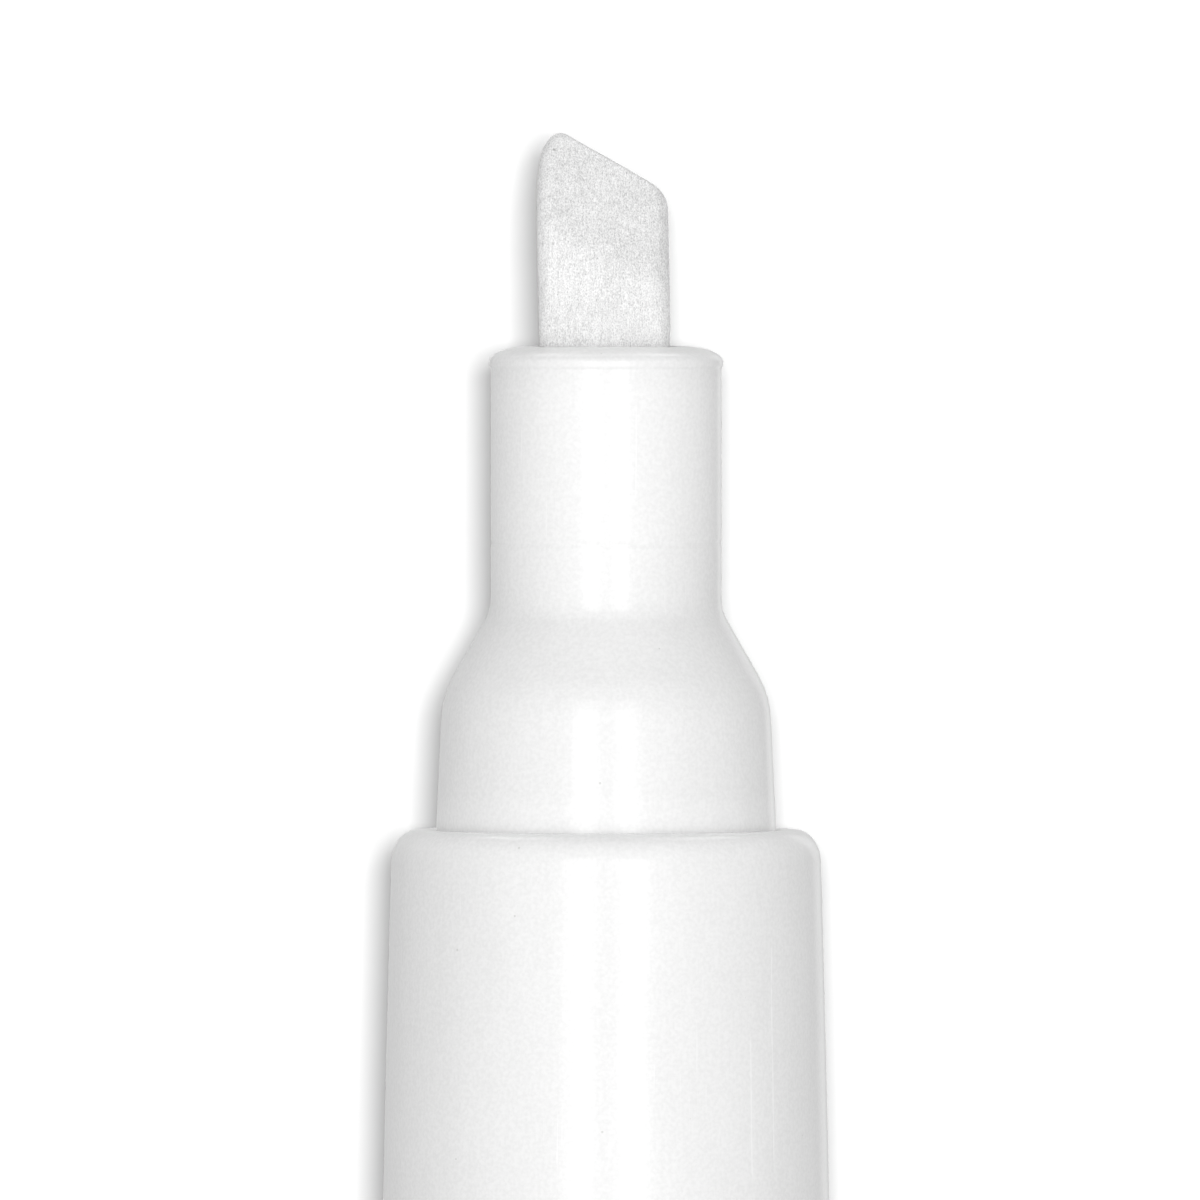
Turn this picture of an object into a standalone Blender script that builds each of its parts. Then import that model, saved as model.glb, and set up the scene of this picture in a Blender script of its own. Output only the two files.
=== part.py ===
"""Empty paint marker: a chisel felt nib on a pump valve, standing nib up on its posted cap.

Metres, +Z up. The marker's long axis is the Z axis, and the closed end of the cap stands at the origin.
The nib's wide face looks along -Y, with the point of its slanted writing edge on the -X side.
"""
import math

import bmesh
import bpy
import numpy as np
from mathutils import Matrix, Vector

# Clearances
SEAT_GAP = 0.0003  # between faces that rest on each other
FIT_GAP = 0.00015  # round a piece that is pushed into a bore
THREAD_GAP = 0.0003  # round the thread's ridge in its groove
NIB_GAP = 0.0002  # round the nib in its slot

# Nib: a felt rod with a slanted writing edge, ground on both wide faces
NIB_WIDTH = 0.0050
NIB_DEPTH = 0.0042
NIB_CORNER_RADIUS = 0.0010
NIB_REACH = 0.0083  # point above the holder's rim
NIB_SLANT = math.radians(29.5)
NIB_POINT_RADIUS = 0.0008
NIB_HEEL_RADIUS = 0.00115
NIB_EDGE_THICKNESS = 0.0011
NIB_GRIND_LENGTH = 0.0036  # ground faces, measured square to the writing edge
NIB_TRAVEL = 0.0025

# Front section above the barrel: nib holder, shoulder cone and collar
RIM_OVERHANG = 0.00006
RIM_WIDTH = 0.00125
RIM_HEIGHT = 0.00074
RIM_BAND = 0.00015
HOLDER_RADIUS = 0.00447
HOLDER_LENGTH = 0.0102
HOLDER_FILLET = 0.0018
RING_HEIGHT = 0.0026  # moulding ring above the shoulder
RING_WIDTH = 0.0005
RING_DEPTH = 0.00006
SHOULDER_LENGTH = 0.0033
COLLAR_TOP_RADIUS = 0.00635
COLLAR_FOOT_RADIUS = 0.00659
COLLAR_LENGTH = 0.0052
COLLAR_FILLET = 0.0038

# Front section inside the barrel: foot, seal and threaded spigot
FOOT_DEPTH = 0.0010
SEAL_THICKNESS = 0.0006
THREAD_HEIGHT = 0.0005
THREAD_PITCH = 0.0024
THREAD_TURNS = 1.5
THREAD_INSET = 0.00004  # crest inside the foot's radius, so that it passes the mouth
SPIGOT_LEAD = 0.0014  # plain end below the thread
SPIGOT_WALL = 0.00115

# Valve
VALVE_CEILING = 0.0015  # top of the valve chamber above the barrel's mouth
SEAT_THICKNESS = 0.0012
STEM_PIN_RADIUS = 0.0014
STEM_TAIL_RADIUS = 0.0012
STEM_FLANGE_THICKNESS = 0.0010
STEM_GUIDE_LENGTH = 0.0006  # tail inside its guide hole at rest
PIN_FLOW_GAP = 0.00035
FLANGE_FLOW_GAP = 0.0007
GUIDE_GAP = 0.00025
NIB_FOOT_ROOM = 0.0004
CAGE_WALL = 0.00105
CAGE_FLOOR = 0.0012
CAGE_COLLAR_WIDTH = 0.00085
CAGE_COLLAR_THICKNESS = 0.0010
WINDOW_COUNT = 4
WINDOW_WIDTH = 0.0022
WINDOW_HEIGHT = 0.0020
WINDOW_MARGIN = 0.0004
SPRING_WIRE = 0.00045
SPRING_GAP = 0.00065  # between the coil and the stem's tail
SPRING_TURNS = 7

# Barrel
MOUTH_WALL = 0.00155
MOUTH_ROUND = 0.00095
BARREL_LENGTH = 0.1000
SWELL_LENGTH = 0.0520
SWELL_RISE = 0.00075
BARREL_WALL = 0.00145
BARREL_TAIL_ROUND = 0.0010
NECK_GAP = 0.00025
NECK_EXTRA = 0.0010  # neck below the spigot's end
NECK_CONE = 0.0030
BALL_RADIUS = 0.00275
BALL_SPACING = 0.0004

# Tail plug
PLUG_DEPTH = 0.0080
PLUG_FLOOR = 0.0013
PLUG_FLANGE_WIDTH = 0.0005  # beyond the barrel's bore
PLUG_FLANGE_THICKNESS = 0.0010
PLUG_CHAMFER = 0.0005
POST_LENGTH = 0.0065
POST_WALL = 0.0012
POST_ROUND = 0.0005
TAIL_SEAL_WIRE = 0.0010

# Cap
CAP_WALL = 0.0016
CAP_DRAFT = 0.0002
CAP_END_WALL = 0.0016
CAP_END_ROUND = 0.0016
CAP_LIP_ROUND = 0.0004
LINER_WALL = 0.0009
LINER_FLANGE = 0.0010
LINER_LEAD = 0.0007  # liner's mouth beyond the shoulder
NIB_ROOM = 0.0015  # beyond the nib's point when the cap is on
FLUTE_COUNT = 24
FLUTE_RADIUS = 0.0008
FLUTE_DEPTH = 0.0004
FLUTE_LENGTH = 0.0150
FLUTE_RISE = 0.0035  # lower end above the cap's closed end

# Facets and modelling tolerances
TURN_STEPS = 40
SMALL_TURN_STEPS = 28
THREAD_STEPS = 24
CURL_STEPS = 9
RIM_STEPS = 5
SWELL_STEPS = 7
SEAL_SIDES = 8
FLUTE_SIDES = 12
BALL_SEGMENTS = 20
BALL_RINGS = 10
ARC_STEP = math.radians(18.0)
SHARP_ANGLE = math.radians(32.0)
FILLET_LIMIT = 0.95  # share of the shorter edge beside a corner that its fillet may take
WELD = 0.000001
CUT_MARGIN = 0.0010  # reach of a cutter beyond what it cuts

# Heights above the barrel's mouth plane
HOLDER_TOP = COLLAR_LENGTH + SHOULDER_LENGTH + HOLDER_LENGTH
NIB_POINT = HOLDER_TOP + NIB_REACH
NIB_FOOT = VALVE_CEILING + NIB_TRAVEL + NIB_FOOT_ROOM
POCKET_DEPTH = FOOT_DEPTH + SEAL_THICKNESS + 2.0 * SEAT_GAP
THREAD_TOP = -POCKET_DEPTH - SEAT_GAP - THREAD_HEIGHT
THREAD_BOTTOM = THREAD_TOP - THREAD_PITCH * THREAD_TURNS
SPIGOT_END = THREAD_BOTTOM - THREAD_HEIGHT - SPIGOT_LEAD
SEAT_TOP = VALVE_CEILING - SEAT_GAP
SEAT_BOTTOM = SEAT_TOP - SEAT_THICKNESS
FLANGE_TOP = SEAT_BOTTOM - SEAT_GAP
FLANGE_BOTTOM = FLANGE_TOP - STEM_FLANGE_THICKNESS
CAGE_COLLAR_TOP = SPIGOT_END - SEAT_GAP
CAGE_COLLAR_BOTTOM = CAGE_COLLAR_TOP - CAGE_COLLAR_THICKNESS
WINDOW_TOP = CAGE_COLLAR_BOTTOM - WINDOW_MARGIN
CAGE_FLOOR_TOP = WINDOW_TOP - WINDOW_HEIGHT - WINDOW_MARGIN

# Radii
SPIGOT_RADIUS = COLLAR_FOOT_RADIUS - THREAD_HEIGHT - THREAD_INSET
CHAMBER_RADIUS = SPIGOT_RADIUS - SPIGOT_WALL
CAGE_RADIUS = CHAMBER_RADIUS - FIT_GAP
CAGE_BORE = CAGE_RADIUS - CAGE_WALL
SPRING_RADIUS = STEM_TAIL_RADIUS + SPRING_GAP + SPRING_WIRE / 2.0
MOUTH_RADIUS = COLLAR_FOOT_RADIUS + FIT_GAP
NECK_RADIUS = SPIGOT_RADIUS + NECK_GAP
BARREL_TOP_RADIUS = MOUTH_RADIUS + MOUTH_WALL
BARREL_RADIUS = BARREL_TOP_RADIUS + SWELL_RISE
RESERVOIR_RADIUS = BARREL_RADIUS - BARREL_WALL
PLUG_RADIUS = RESERVOIR_RADIUS - FIT_GAP
TAIL_SEAL_RADIUS = PLUG_RADIUS - TAIL_SEAL_WIRE / 2.0
TAIL_GROOVE_RADIUS = TAIL_SEAL_RADIUS - TAIL_SEAL_WIRE / 2.0 - FIT_GAP
CAP_BORE = COLLAR_FOOT_RADIUS + FIT_GAP
CAP_RADIUS = CAP_BORE + CAP_WALL
LINER_BORE = HOLDER_RADIUS + RIM_OVERHANG + FIT_GAP

# Heights above the ground
LINER_MOUTH_DEPTH = max(COLLAR_LENGTH + SHOULDER_LENGTH, POST_LENGTH) + LINER_LEAD
LINER_FLOOR = CAP_END_WALL + SEAT_GAP + LINER_WALL
CAP_LENGTH = LINER_FLOOR + NIB_ROOM + NIB_POINT
BARREL_REAR = CAP_LENGTH + SEAT_GAP + PLUG_FLANGE_THICKNESS + SEAT_GAP
MOUTH_PLANE = BARREL_REAR + BARREL_LENGTH

# Finishes: colour, roughness, metallic
WHITE_PLASTIC = ((0.88, 0.88, 0.87), 0.38, 0.0)
SOFT_PLASTIC = ((0.84, 0.84, 0.82), 0.55, 0.0)
FELT = ((0.86, 0.85, 0.84), 0.90, 0.0)
SEAL_RUBBER = ((0.10, 0.10, 0.10), 0.70, 0.0)
SPRING_STEEL = ((0.62, 0.62, 0.63), 0.30, 1.0)
BALL_STEEL = ((0.66, 0.66, 0.67), 0.18, 1.0)


def clear_scene():
    """Remove every object of the scene."""
    for obj in list(bpy.data.objects):
        bpy.data.objects.remove(obj, do_unlink=True)


def collection(name):
    """The scene's collection of that name, made if need be."""
    found = bpy.data.collections.get(name)
    if found is None:
        found = bpy.data.collections.new(name)
        bpy.context.scene.collection.children.link(found)
    return found


def corner_arc(corner, before, after, radius):
    """Arc that rounds a corner, given the steps to the points before and after it."""
    half = before.angle(after) / 2.0
    reach = min(radius / math.tan(half), FILLET_LIMIT * min(before.length, after.length))
    towards_centre = (before.normalized() + after.normalized()).normalized()
    centre = corner + towards_centre * reach / math.cos(half)
    start = corner + before.normalized() * reach - centre
    end = corner + after.normalized() * reach - centre
    sweep = math.copysign(math.pi - 2.0 * half, start.cross(end))
    steps = max(1, round(abs(sweep) / ARC_STEP))
    return [centre + Matrix.Rotation(sweep * step / steps, 2) @ start for step in range(steps + 1)]


def rounded(corners):
    """Corners (x, y, radius) as a polyline whose corners with a radius are arcs."""
    points = []
    for index, (x, y, radius) in enumerate(corners):
        corner = Vector((x, y))
        if radius == 0.0:
            points.append(corner)
            continue
        before = Vector(corners[index - 1][:2]) - corner
        after = Vector(corners[(index + 1) % len(corners)][:2]) - corner
        points.extend(corner_arc(corner, before, after, radius))
    return points


def rounded_rectangle(width, depth, radius):
    """Outline of a rectangle about the origin with rounded corners."""
    signs = ((-1, -1), (1, -1), (1, 1), (-1, 1))
    return rounded([(x * width / 2.0, y * depth / 2.0, radius) for x, y in signs])


def turned(name, corners, ring=False, steps=TURN_STEPS):
    """Profile corners (radius, height, fillet) turned about Z; a ring's profile is a closed loop."""
    points = rounded(corners)
    edges = [(index, index + 1) for index in range(len(points) - 1)]
    if ring:
        edges.append((len(points) - 1, 0))
    mesh = bpy.data.meshes.new(name)
    mesh.from_pydata([(radius, 0.0, height) for radius, height in points], edges, [])
    obj = bpy.data.objects.new(name, mesh)
    collection("paint_marker").objects.link(obj)
    screw = obj.modifiers.new("turn", "SCREW")
    screw.axis = "Z"
    screw.angle = math.tau
    screw.steps = steps
    screw.render_steps = steps
    screw.use_merge_vertices = True
    screw.merge_threshold = WELD
    return obj


def meshed(name, curve):
    """A curve as a mesh object, its caps welded and its faces turned outwards."""
    source = bpy.data.objects.new(name, curve)
    collection("paint_marker").objects.link(source)
    bpy.context.view_layer.update()
    evaluated = source.evaluated_get(bpy.context.evaluated_depsgraph_get())
    mesh = bpy.data.meshes.new_from_object(evaluated)
    placed = source.matrix_world.copy()
    bpy.data.objects.remove(source, do_unlink=True)
    form = bmesh.new()
    form.from_mesh(mesh)
    bmesh.ops.remove_doubles(form, verts=form.verts, dist=WELD)
    bmesh.ops.recalc_face_normals(form, faces=form.faces)
    form.to_mesh(mesh)
    form.free()
    obj = bpy.data.objects.new(name, mesh)
    obj.matrix_world = placed
    collection("paint_marker").objects.link(obj)
    return obj


def prism(name, outline, half_length, matrix=Matrix()):
    """Flat outline in XY, extruded along Z by half its length each way and then moved by the matrix."""
    curve = bpy.data.curves.new(name, "CURVE")
    curve.dimensions = "2D"
    curve.fill_mode = "BOTH"
    curve.extrude = half_length
    spline = curve.splines.new("POLY")
    spline.points.add(len(outline) - 1)
    spline.use_cyclic_u = True
    for point, (x, y) in zip(spline.points, outline):
        point.co = (x, y, 0.0, 1.0)
    obj = meshed(name, curve)
    obj.data.transform(matrix)
    return obj


def tube(name, path, radius, run_out=0):
    """Round tube along the path, its radius growing from nothing over the run-out points at each end."""
    curve = bpy.data.curves.new(name, "CURVE")
    curve.dimensions = "3D"
    curve.bevel_depth = radius
    curve.bevel_resolution = 1
    curve.use_fill_caps = True
    spline = curve.splines.new("POLY")
    spline.points.add(len(path) - 1)
    for index, (point, place) in enumerate(zip(spline.points, path)):
        from_end = min(index, len(path) - 1 - index)
        point.co = (*place, 1.0)
        point.radius = min(1.0, (from_end + 1.0) / (run_out + 1.0))
    return meshed(name, curve)


def helix(radius, low_turn, high_turn, pitch, start, steps):
    """Points of a right-handed helix about Z between two turns, at the start height at turn nought."""
    count = math.ceil((high_turn - low_turn) * steps)
    turns = np.linspace(low_turn, high_turn, count + 1)
    angles = math.tau * turns
    return np.column_stack((radius * np.cos(angles), radius * np.sin(angles), start + pitch * turns))


def combine(target, tool, operation):
    """Boolean of the target with a tool, which stays with the target as a hidden cutter."""
    collection("paint_marker").objects.unlink(tool)
    collection("cutters").objects.link(tool)
    tool.parent = target
    tool.hide_render = True
    tool.display_type = "WIRE"
    boolean = target.modifiers.new(tool.name, "BOOLEAN")
    boolean.operation = operation
    boolean.object = tool
    boolean.solver = "EXACT"


def finish(obj, look):
    """Keep the modifiers' result as the mesh, smooth but for its sharp edges, in its own material."""
    bpy.context.view_layer.update()
    evaluated = obj.evaluated_get(bpy.context.evaluated_depsgraph_get())
    mesh = bpy.data.meshes.new_from_object(evaluated)
    obj.modifiers.clear()
    obj.data = mesh
    mesh.shade_smooth()
    mesh.set_sharp_from_angle(angle=SHARP_ANGLE)
    colour, roughness, metallic = look
    material = bpy.data.materials.new(obj.name)
    material.use_nodes = True
    shader = material.node_tree.nodes["Principled BSDF"]
    shader.inputs["Base Color"].default_value = (*colour, 1.0)
    shader.inputs["Roughness"].default_value = roughness
    shader.inputs["Metallic"].default_value = metallic
    mesh.materials.clear()
    mesh.materials.append(material)
    return obj


def axis_empty(name, height, parent=None):
    """Empty on the marker's axis that the pieces of one group hang from."""
    empty = bpy.data.objects.new(name, None)
    empty.empty_display_size = 0.01
    empty.location = (0.0, 0.0, height)
    empty.parent = parent
    collection("paint_marker").objects.link(empty)
    return empty


def place(obj, parent, location=(0.0, 0.0, 0.0)):
    """Hang a piece from its group's empty."""
    obj.parent = parent
    obj.location = location


def make_nib():
    """Felt rod, its foot at the origin, with the slanted edge, rounded point and heel, and ground faces."""
    length = NIB_POINT - NIB_FOOT
    slope = math.tan(NIB_SLANT)
    sharp_point = length + NIB_POINT_RADIUS * (slope + 1.0 / math.cos(NIB_SLANT) - 1.0)
    point = Vector((-NIB_WIDTH / 2.0, sharp_point))
    heel = Vector((NIB_WIDTH / 2.0, sharp_point - NIB_WIDTH * slope))
    rod_height = sharp_point + CUT_MARGIN
    rod = prism("nib", rounded_rectangle(NIB_WIDTH, NIB_DEPTH, NIB_CORNER_RADIUS), rod_height / 2.0,
                Matrix.Translation((0.0, 0.0, rod_height / 2.0)))

    down = Vector((0.0, -length))
    heel_arc = corner_arc(heel, down, point - heel, NIB_HEEL_RADIUS)
    point_arc = corner_arc(point, heel - point, down, NIB_POINT_RADIUS)
    side = NIB_WIDTH / 2.0 + CUT_MARGIN
    front = [(-side, -CUT_MARGIN), (side, -CUT_MARGIN), (side, heel_arc[0].y), *heel_arc, *point_arc,
             (-side, point_arc[-1].y)]
    combine(rod, prism("nib_front_outline", front, NIB_DEPTH, Matrix.Rotation(math.pi / 2.0, 4, "X")),
            "INTERSECT")

    # Side outline: a wedge that runs along the writing edge
    spread = (NIB_DEPTH - NIB_EDGE_THICKNESS) / 2.0 / NIB_GRIND_LENGTH
    above = NIB_EDGE_THICKNESS / 4.0 / spread
    below = NIB_GRIND_LENGTH + CUT_MARGIN
    half_top = NIB_EDGE_THICKNESS / 4.0
    half_bottom = NIB_DEPTH / 2.0 + CUT_MARGIN * spread
    wedge = [(half_top, above), (-half_top, above), (-half_bottom, -below), (-half_bottom, -2.0 * length),
             (half_bottom, -2.0 * length), (half_bottom, -below)]
    square_to_edge = Vector((math.sin(NIB_SLANT), 0.0, math.cos(NIB_SLANT)))
    along_edge = Vector((math.cos(NIB_SLANT), 0.0, -math.sin(NIB_SLANT)))
    turn = Matrix((Vector((0.0, 1.0, 0.0)), square_to_edge, along_edge)).transposed().to_4x4()
    edge_middle = (point + heel) / 2.0
    combine(rod, prism("nib_side_outline", wedge, length,
                       Matrix.Translation((edge_middle.x, 0.0, edge_middle.y)) @ turn), "INTERSECT")
    return finish(rod, FELT)


def rim_dome():
    """Quarter ellipse of the holder's rolled rim, from its flat top down to its widest line."""
    angles = [math.pi / 2.0 * step / RIM_STEPS for step in range(RIM_STEPS + 1)]
    inner = HOLDER_RADIUS + RIM_OVERHANG - RIM_WIDTH
    base = HOLDER_TOP - RIM_HEIGHT
    return [(inner + RIM_WIDTH * math.sin(angle), base + RIM_HEIGHT * math.cos(angle), 0.0)
            for angle in angles]


def make_front_section():
    """Nib holder, shoulder, collar and threaded spigot in one moulding, with the slot for the nib."""
    collar_top = COLLAR_LENGTH
    shoulder_top = COLLAR_LENGTH + SHOULDER_LENGTH
    ring = shoulder_top + RING_HEIGHT
    band_bottom = HOLDER_TOP - RIM_HEIGHT - RIM_BAND
    section = turned("front_section", [
        (0.0, HOLDER_TOP, 0.0),
        *rim_dome(),
        (HOLDER_RADIUS + RIM_OVERHANG, band_bottom, 0.0),
        (HOLDER_RADIUS, band_bottom - RIM_OVERHANG, 0.0),
        (HOLDER_RADIUS, ring + RING_WIDTH / 2.0, 0.0),
        (HOLDER_RADIUS - RING_DEPTH, ring, 0.0),
        (HOLDER_RADIUS, ring - RING_WIDTH / 2.0, 0.0),
        (HOLDER_RADIUS, shoulder_top, HOLDER_FILLET),
        (COLLAR_TOP_RADIUS, collar_top, COLLAR_FILLET),
        (COLLAR_FOOT_RADIUS, 0.0, 0.0),
        (COLLAR_FOOT_RADIUS, -FOOT_DEPTH, 0.0),
        (SPIGOT_RADIUS, -FOOT_DEPTH, 0.0),
        (SPIGOT_RADIUS, SPIGOT_END, 0.0),
        (CHAMBER_RADIUS, SPIGOT_END, 0.0),
        (CHAMBER_RADIUS, VALVE_CEILING, 0.0),
        (0.0, VALVE_CEILING, 0.0),
    ])
    ridge = helix(SPIGOT_RADIUS, 0.0, THREAD_TURNS, THREAD_PITCH, THREAD_BOTTOM, THREAD_STEPS)
    combine(section, tube("thread_ridge", ridge, THREAD_HEIGHT, run_out=2), "UNION")
    slot = rounded_rectangle(NIB_WIDTH + 2.0 * NIB_GAP, NIB_DEPTH + 2.0 * NIB_GAP,
                             NIB_CORNER_RADIUS + NIB_GAP)
    slot_middle = (HOLDER_TOP + VALVE_CEILING) / 2.0
    slot_half = (HOLDER_TOP - VALVE_CEILING) / 2.0 + CUT_MARGIN
    combine(section, prism("nib_slot", slot, slot_half, Matrix.Translation((0.0, 0.0, slot_middle))),
            "DIFFERENCE")
    return finish(section, WHITE_PLASTIC)


def make_section_seal():
    """Flat ring between the collar's foot and the floor of the barrel's mouth."""
    inner = SPIGOT_RADIUS + FIT_GAP
    top = -FOOT_DEPTH - SEAT_GAP
    seal = turned("section_seal", [
        (inner, top, 0.0),
        (COLLAR_FOOT_RADIUS, top, 0.0),
        (COLLAR_FOOT_RADIUS, top - SEAL_THICKNESS, 0.0),
        (inner, top - SEAL_THICKNESS, 0.0),
    ], ring=True)
    return finish(seal, SEAL_RUBBER)


def make_valve_seat():
    """Rubber washer under the chamber's ceiling, which the stem's flange closes from below."""
    hole = STEM_PIN_RADIUS + PIN_FLOW_GAP
    seat = turned("valve_seat", [
        (hole, SEAT_TOP, 0.0),
        (CAGE_RADIUS, SEAT_TOP, 0.0),
        (CAGE_RADIUS, SEAT_BOTTOM, 0.0),
        (hole, SEAT_BOTTOM, 0.0),
    ], ring=True, steps=SMALL_TURN_STEPS)
    return finish(seat, SEAL_RUBBER)


def make_valve_stem():
    """Plunger, its pin's top at the origin: pin under the nib, flange under the seat and guide tail."""
    pin_top = NIB_FOOT - SEAT_GAP
    flange_radius = CAGE_BORE - FLANGE_FLOW_GAP
    tail_end = CAGE_FLOOR_TOP - STEM_GUIDE_LENGTH
    pin_chamfer = STEM_PIN_RADIUS / 4.0
    stem = turned("valve_stem", [
        (0.0, 0.0, 0.0),
        (STEM_PIN_RADIUS - pin_chamfer, 0.0, 0.0),
        (STEM_PIN_RADIUS, -pin_chamfer, 0.0),
        (STEM_PIN_RADIUS, FLANGE_TOP - pin_top, 0.0),
        (flange_radius, FLANGE_TOP - pin_top, 0.0),
        (flange_radius, FLANGE_BOTTOM - pin_top, 0.0),
        (STEM_TAIL_RADIUS, FLANGE_BOTTOM - pin_top, 0.0),
        (STEM_TAIL_RADIUS, tail_end - pin_top, 0.0),
        (0.0, tail_end - pin_top, 0.0),
    ], steps=SMALL_TURN_STEPS)
    return finish(stem, SOFT_PLASTIC)


def make_valve_cage():
    """Cup in the spigot with a stop collar, paint windows and a guide hole for the stem's tail."""
    top = SEAT_BOTTOM - SEAT_GAP
    guide = STEM_TAIL_RADIUS + GUIDE_GAP
    collar = CAGE_RADIUS + CAGE_COLLAR_WIDTH
    bottom = CAGE_FLOOR_TOP - CAGE_FLOOR
    cage = turned("valve_cage", [
        (CAGE_BORE, top, 0.0),
        (CAGE_RADIUS, top, 0.0),
        (CAGE_RADIUS, CAGE_COLLAR_TOP, 0.0),
        (collar, CAGE_COLLAR_TOP, 0.0),
        (collar, CAGE_COLLAR_BOTTOM, 0.0),
        (CAGE_RADIUS, CAGE_COLLAR_BOTTOM, 0.0),
        (CAGE_RADIUS, bottom, 0.0),
        (guide, bottom, 0.0),
        (guide, CAGE_FLOOR_TOP, 0.0),
        (CAGE_BORE, CAGE_FLOOR_TOP, 0.0),
    ], ring=True, steps=SMALL_TURN_STEPS)
    bar_half = CAGE_RADIUS + CUT_MARGIN
    bar = [(-bar_half, -WINDOW_WIDTH / 2.0), (bar_half, -WINDOW_WIDTH / 2.0),
           (bar_half, WINDOW_WIDTH / 2.0), (-bar_half, WINDOW_WIDTH / 2.0)]
    window_middle = Matrix.Translation((0.0, 0.0, WINDOW_TOP - WINDOW_HEIGHT / 2.0))
    for index in range(WINDOW_COUNT // 2):
        turn = Matrix.Rotation(math.tau * index / WINDOW_COUNT, 4, "Z")
        combine(cage, prism(f"window_bar_{index + 1}", bar, WINDOW_HEIGHT / 2.0, window_middle @ turn),
                "DIFFERENCE")
    return finish(cage, SOFT_PLASTIC)


def least_gap(path, diameter, curl_steps):
    """Least free space between a tube's curls, on its path's points at least half a curl apart."""
    apart = np.linalg.norm(path[:, None, :] - path[None, :, :], axis=2)
    order = np.arange(len(path))
    other_curl = np.abs(order[:, None] - order[None, :]) > curl_steps / 2.0
    return apart[other_curl].min() - diameter


def make_valve_spring():
    """Compression spring round the stem's tail, one unbroken wire from the cage's floor to the flange."""
    low = CAGE_FLOOR_TOP + SEAT_GAP + SPRING_WIRE / 2.0
    high = FLANGE_BOTTOM - SEAT_GAP - SPRING_WIRE / 2.0
    path = helix(SPRING_RADIUS, 0.0, SPRING_TURNS, (high - low) / SPRING_TURNS, low, CURL_STEPS)
    print(f"valve_spring least gap {least_gap(path, SPRING_WIRE, CURL_STEPS) * 1000.0:.2f} mm")
    return finish(tube("valve_spring", path, SPRING_WIRE / 2.0), SPRING_STEEL)


def barrel_swell():
    """Outer wall below the mouth: a parabola that widens from the mouth and then runs straight."""
    shares = [(step + 1.0) / SWELL_STEPS for step in range(SWELL_STEPS)]
    return [(BARREL_TOP_RADIUS + SWELL_RISE * share * (2.0 - share), -SWELL_LENGTH * share, 0.0)
            for share in shares]


def make_barrel():
    """Paint tube, its mouth plane at the origin, with the mouth's pocket and the threaded neck."""
    neck_end = SPIGOT_END - NECK_EXTRA
    barrel = turned("barrel", [
        (MOUTH_RADIUS, 0.0, 0.0),
        (BARREL_TOP_RADIUS, 0.0, MOUTH_ROUND),
        *barrel_swell(),
        (BARREL_RADIUS, -BARREL_LENGTH, BARREL_TAIL_ROUND),
        (RESERVOIR_RADIUS, -BARREL_LENGTH, 0.0),
        (RESERVOIR_RADIUS, neck_end - NECK_CONE, 0.0),
        (NECK_RADIUS, neck_end, 0.0),
        (NECK_RADIUS, -POCKET_DEPTH, 0.0),
        (MOUTH_RADIUS, -POCKET_DEPTH, 0.0),
    ], ring=True)
    run_out = (THREAD_TOP + 2.0 * THREAD_HEIGHT + SEAT_GAP - THREAD_BOTTOM) / THREAD_PITCH
    lead_in = 2.0 * (THREAD_HEIGHT + THREAD_GAP) / (math.tau * SPIGOT_RADIUS)
    groove = helix(SPIGOT_RADIUS, -lead_in, run_out, THREAD_PITCH, THREAD_BOTTOM, THREAD_STEPS)
    combine(barrel, tube("thread_groove", groove, THREAD_HEIGHT + THREAD_GAP), "DIFFERENCE")
    return finish(barrel, WHITE_PLASTIC)


def make_tail_plug():
    """Hollow plug, its origin at the barrel's rear face: sealed sleeve, flange and the cap's post."""
    groove_half = TAIL_SEAL_WIRE / 2.0 + FIT_GAP
    groove_middle = PLUG_DEPTH / 2.0
    flange_radius = RESERVOIR_RADIUS + PLUG_FLANGE_WIDTH
    flange_bottom = -SEAT_GAP - PLUG_FLANGE_THICKNESS
    post_end = flange_bottom - POST_LENGTH
    post_bore = COLLAR_FOOT_RADIUS - POST_WALL
    plug = turned("tail_plug", [
        (0.0, PLUG_DEPTH, 0.0),
        (PLUG_RADIUS - PLUG_CHAMFER, PLUG_DEPTH, 0.0),
        (PLUG_RADIUS, PLUG_DEPTH - PLUG_CHAMFER, 0.0),
        (PLUG_RADIUS, groove_middle + groove_half, 0.0),
        (TAIL_GROOVE_RADIUS, groove_middle + groove_half, 0.0),
        (TAIL_GROOVE_RADIUS, groove_middle - groove_half, 0.0),
        (PLUG_RADIUS, groove_middle - groove_half, 0.0),
        (PLUG_RADIUS, -SEAT_GAP, 0.0),
        (flange_radius, -SEAT_GAP, 0.0),
        (flange_radius, flange_bottom, 0.0),
        (COLLAR_FOOT_RADIUS, flange_bottom, 0.0),
        (COLLAR_FOOT_RADIUS, post_end, POST_ROUND),
        (post_bore, post_end, 0.0),
        (post_bore, PLUG_DEPTH - PLUG_FLOOR, 0.0),
        (0.0, PLUG_DEPTH - PLUG_FLOOR, 0.0),
    ])
    return finish(plug, WHITE_PLASTIC)


def make_tail_seal():
    """O-ring in the plug's groove, its centre at the origin."""
    bpy.ops.mesh.primitive_torus_add(major_segments=TURN_STEPS, minor_segments=SEAL_SIDES,
                                     major_radius=TAIL_SEAL_RADIUS, minor_radius=TAIL_SEAL_WIRE / 2.0)
    return finish(adopt("tail_seal"), SEAL_RUBBER)


def make_mixing_ball(name):
    """Steel ball that stirs the paint, its centre at the origin."""
    bpy.ops.mesh.primitive_uv_sphere_add(segments=BALL_SEGMENTS, ring_count=BALL_RINGS, radius=BALL_RADIUS)
    return finish(adopt(name), BALL_STEEL)


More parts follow.
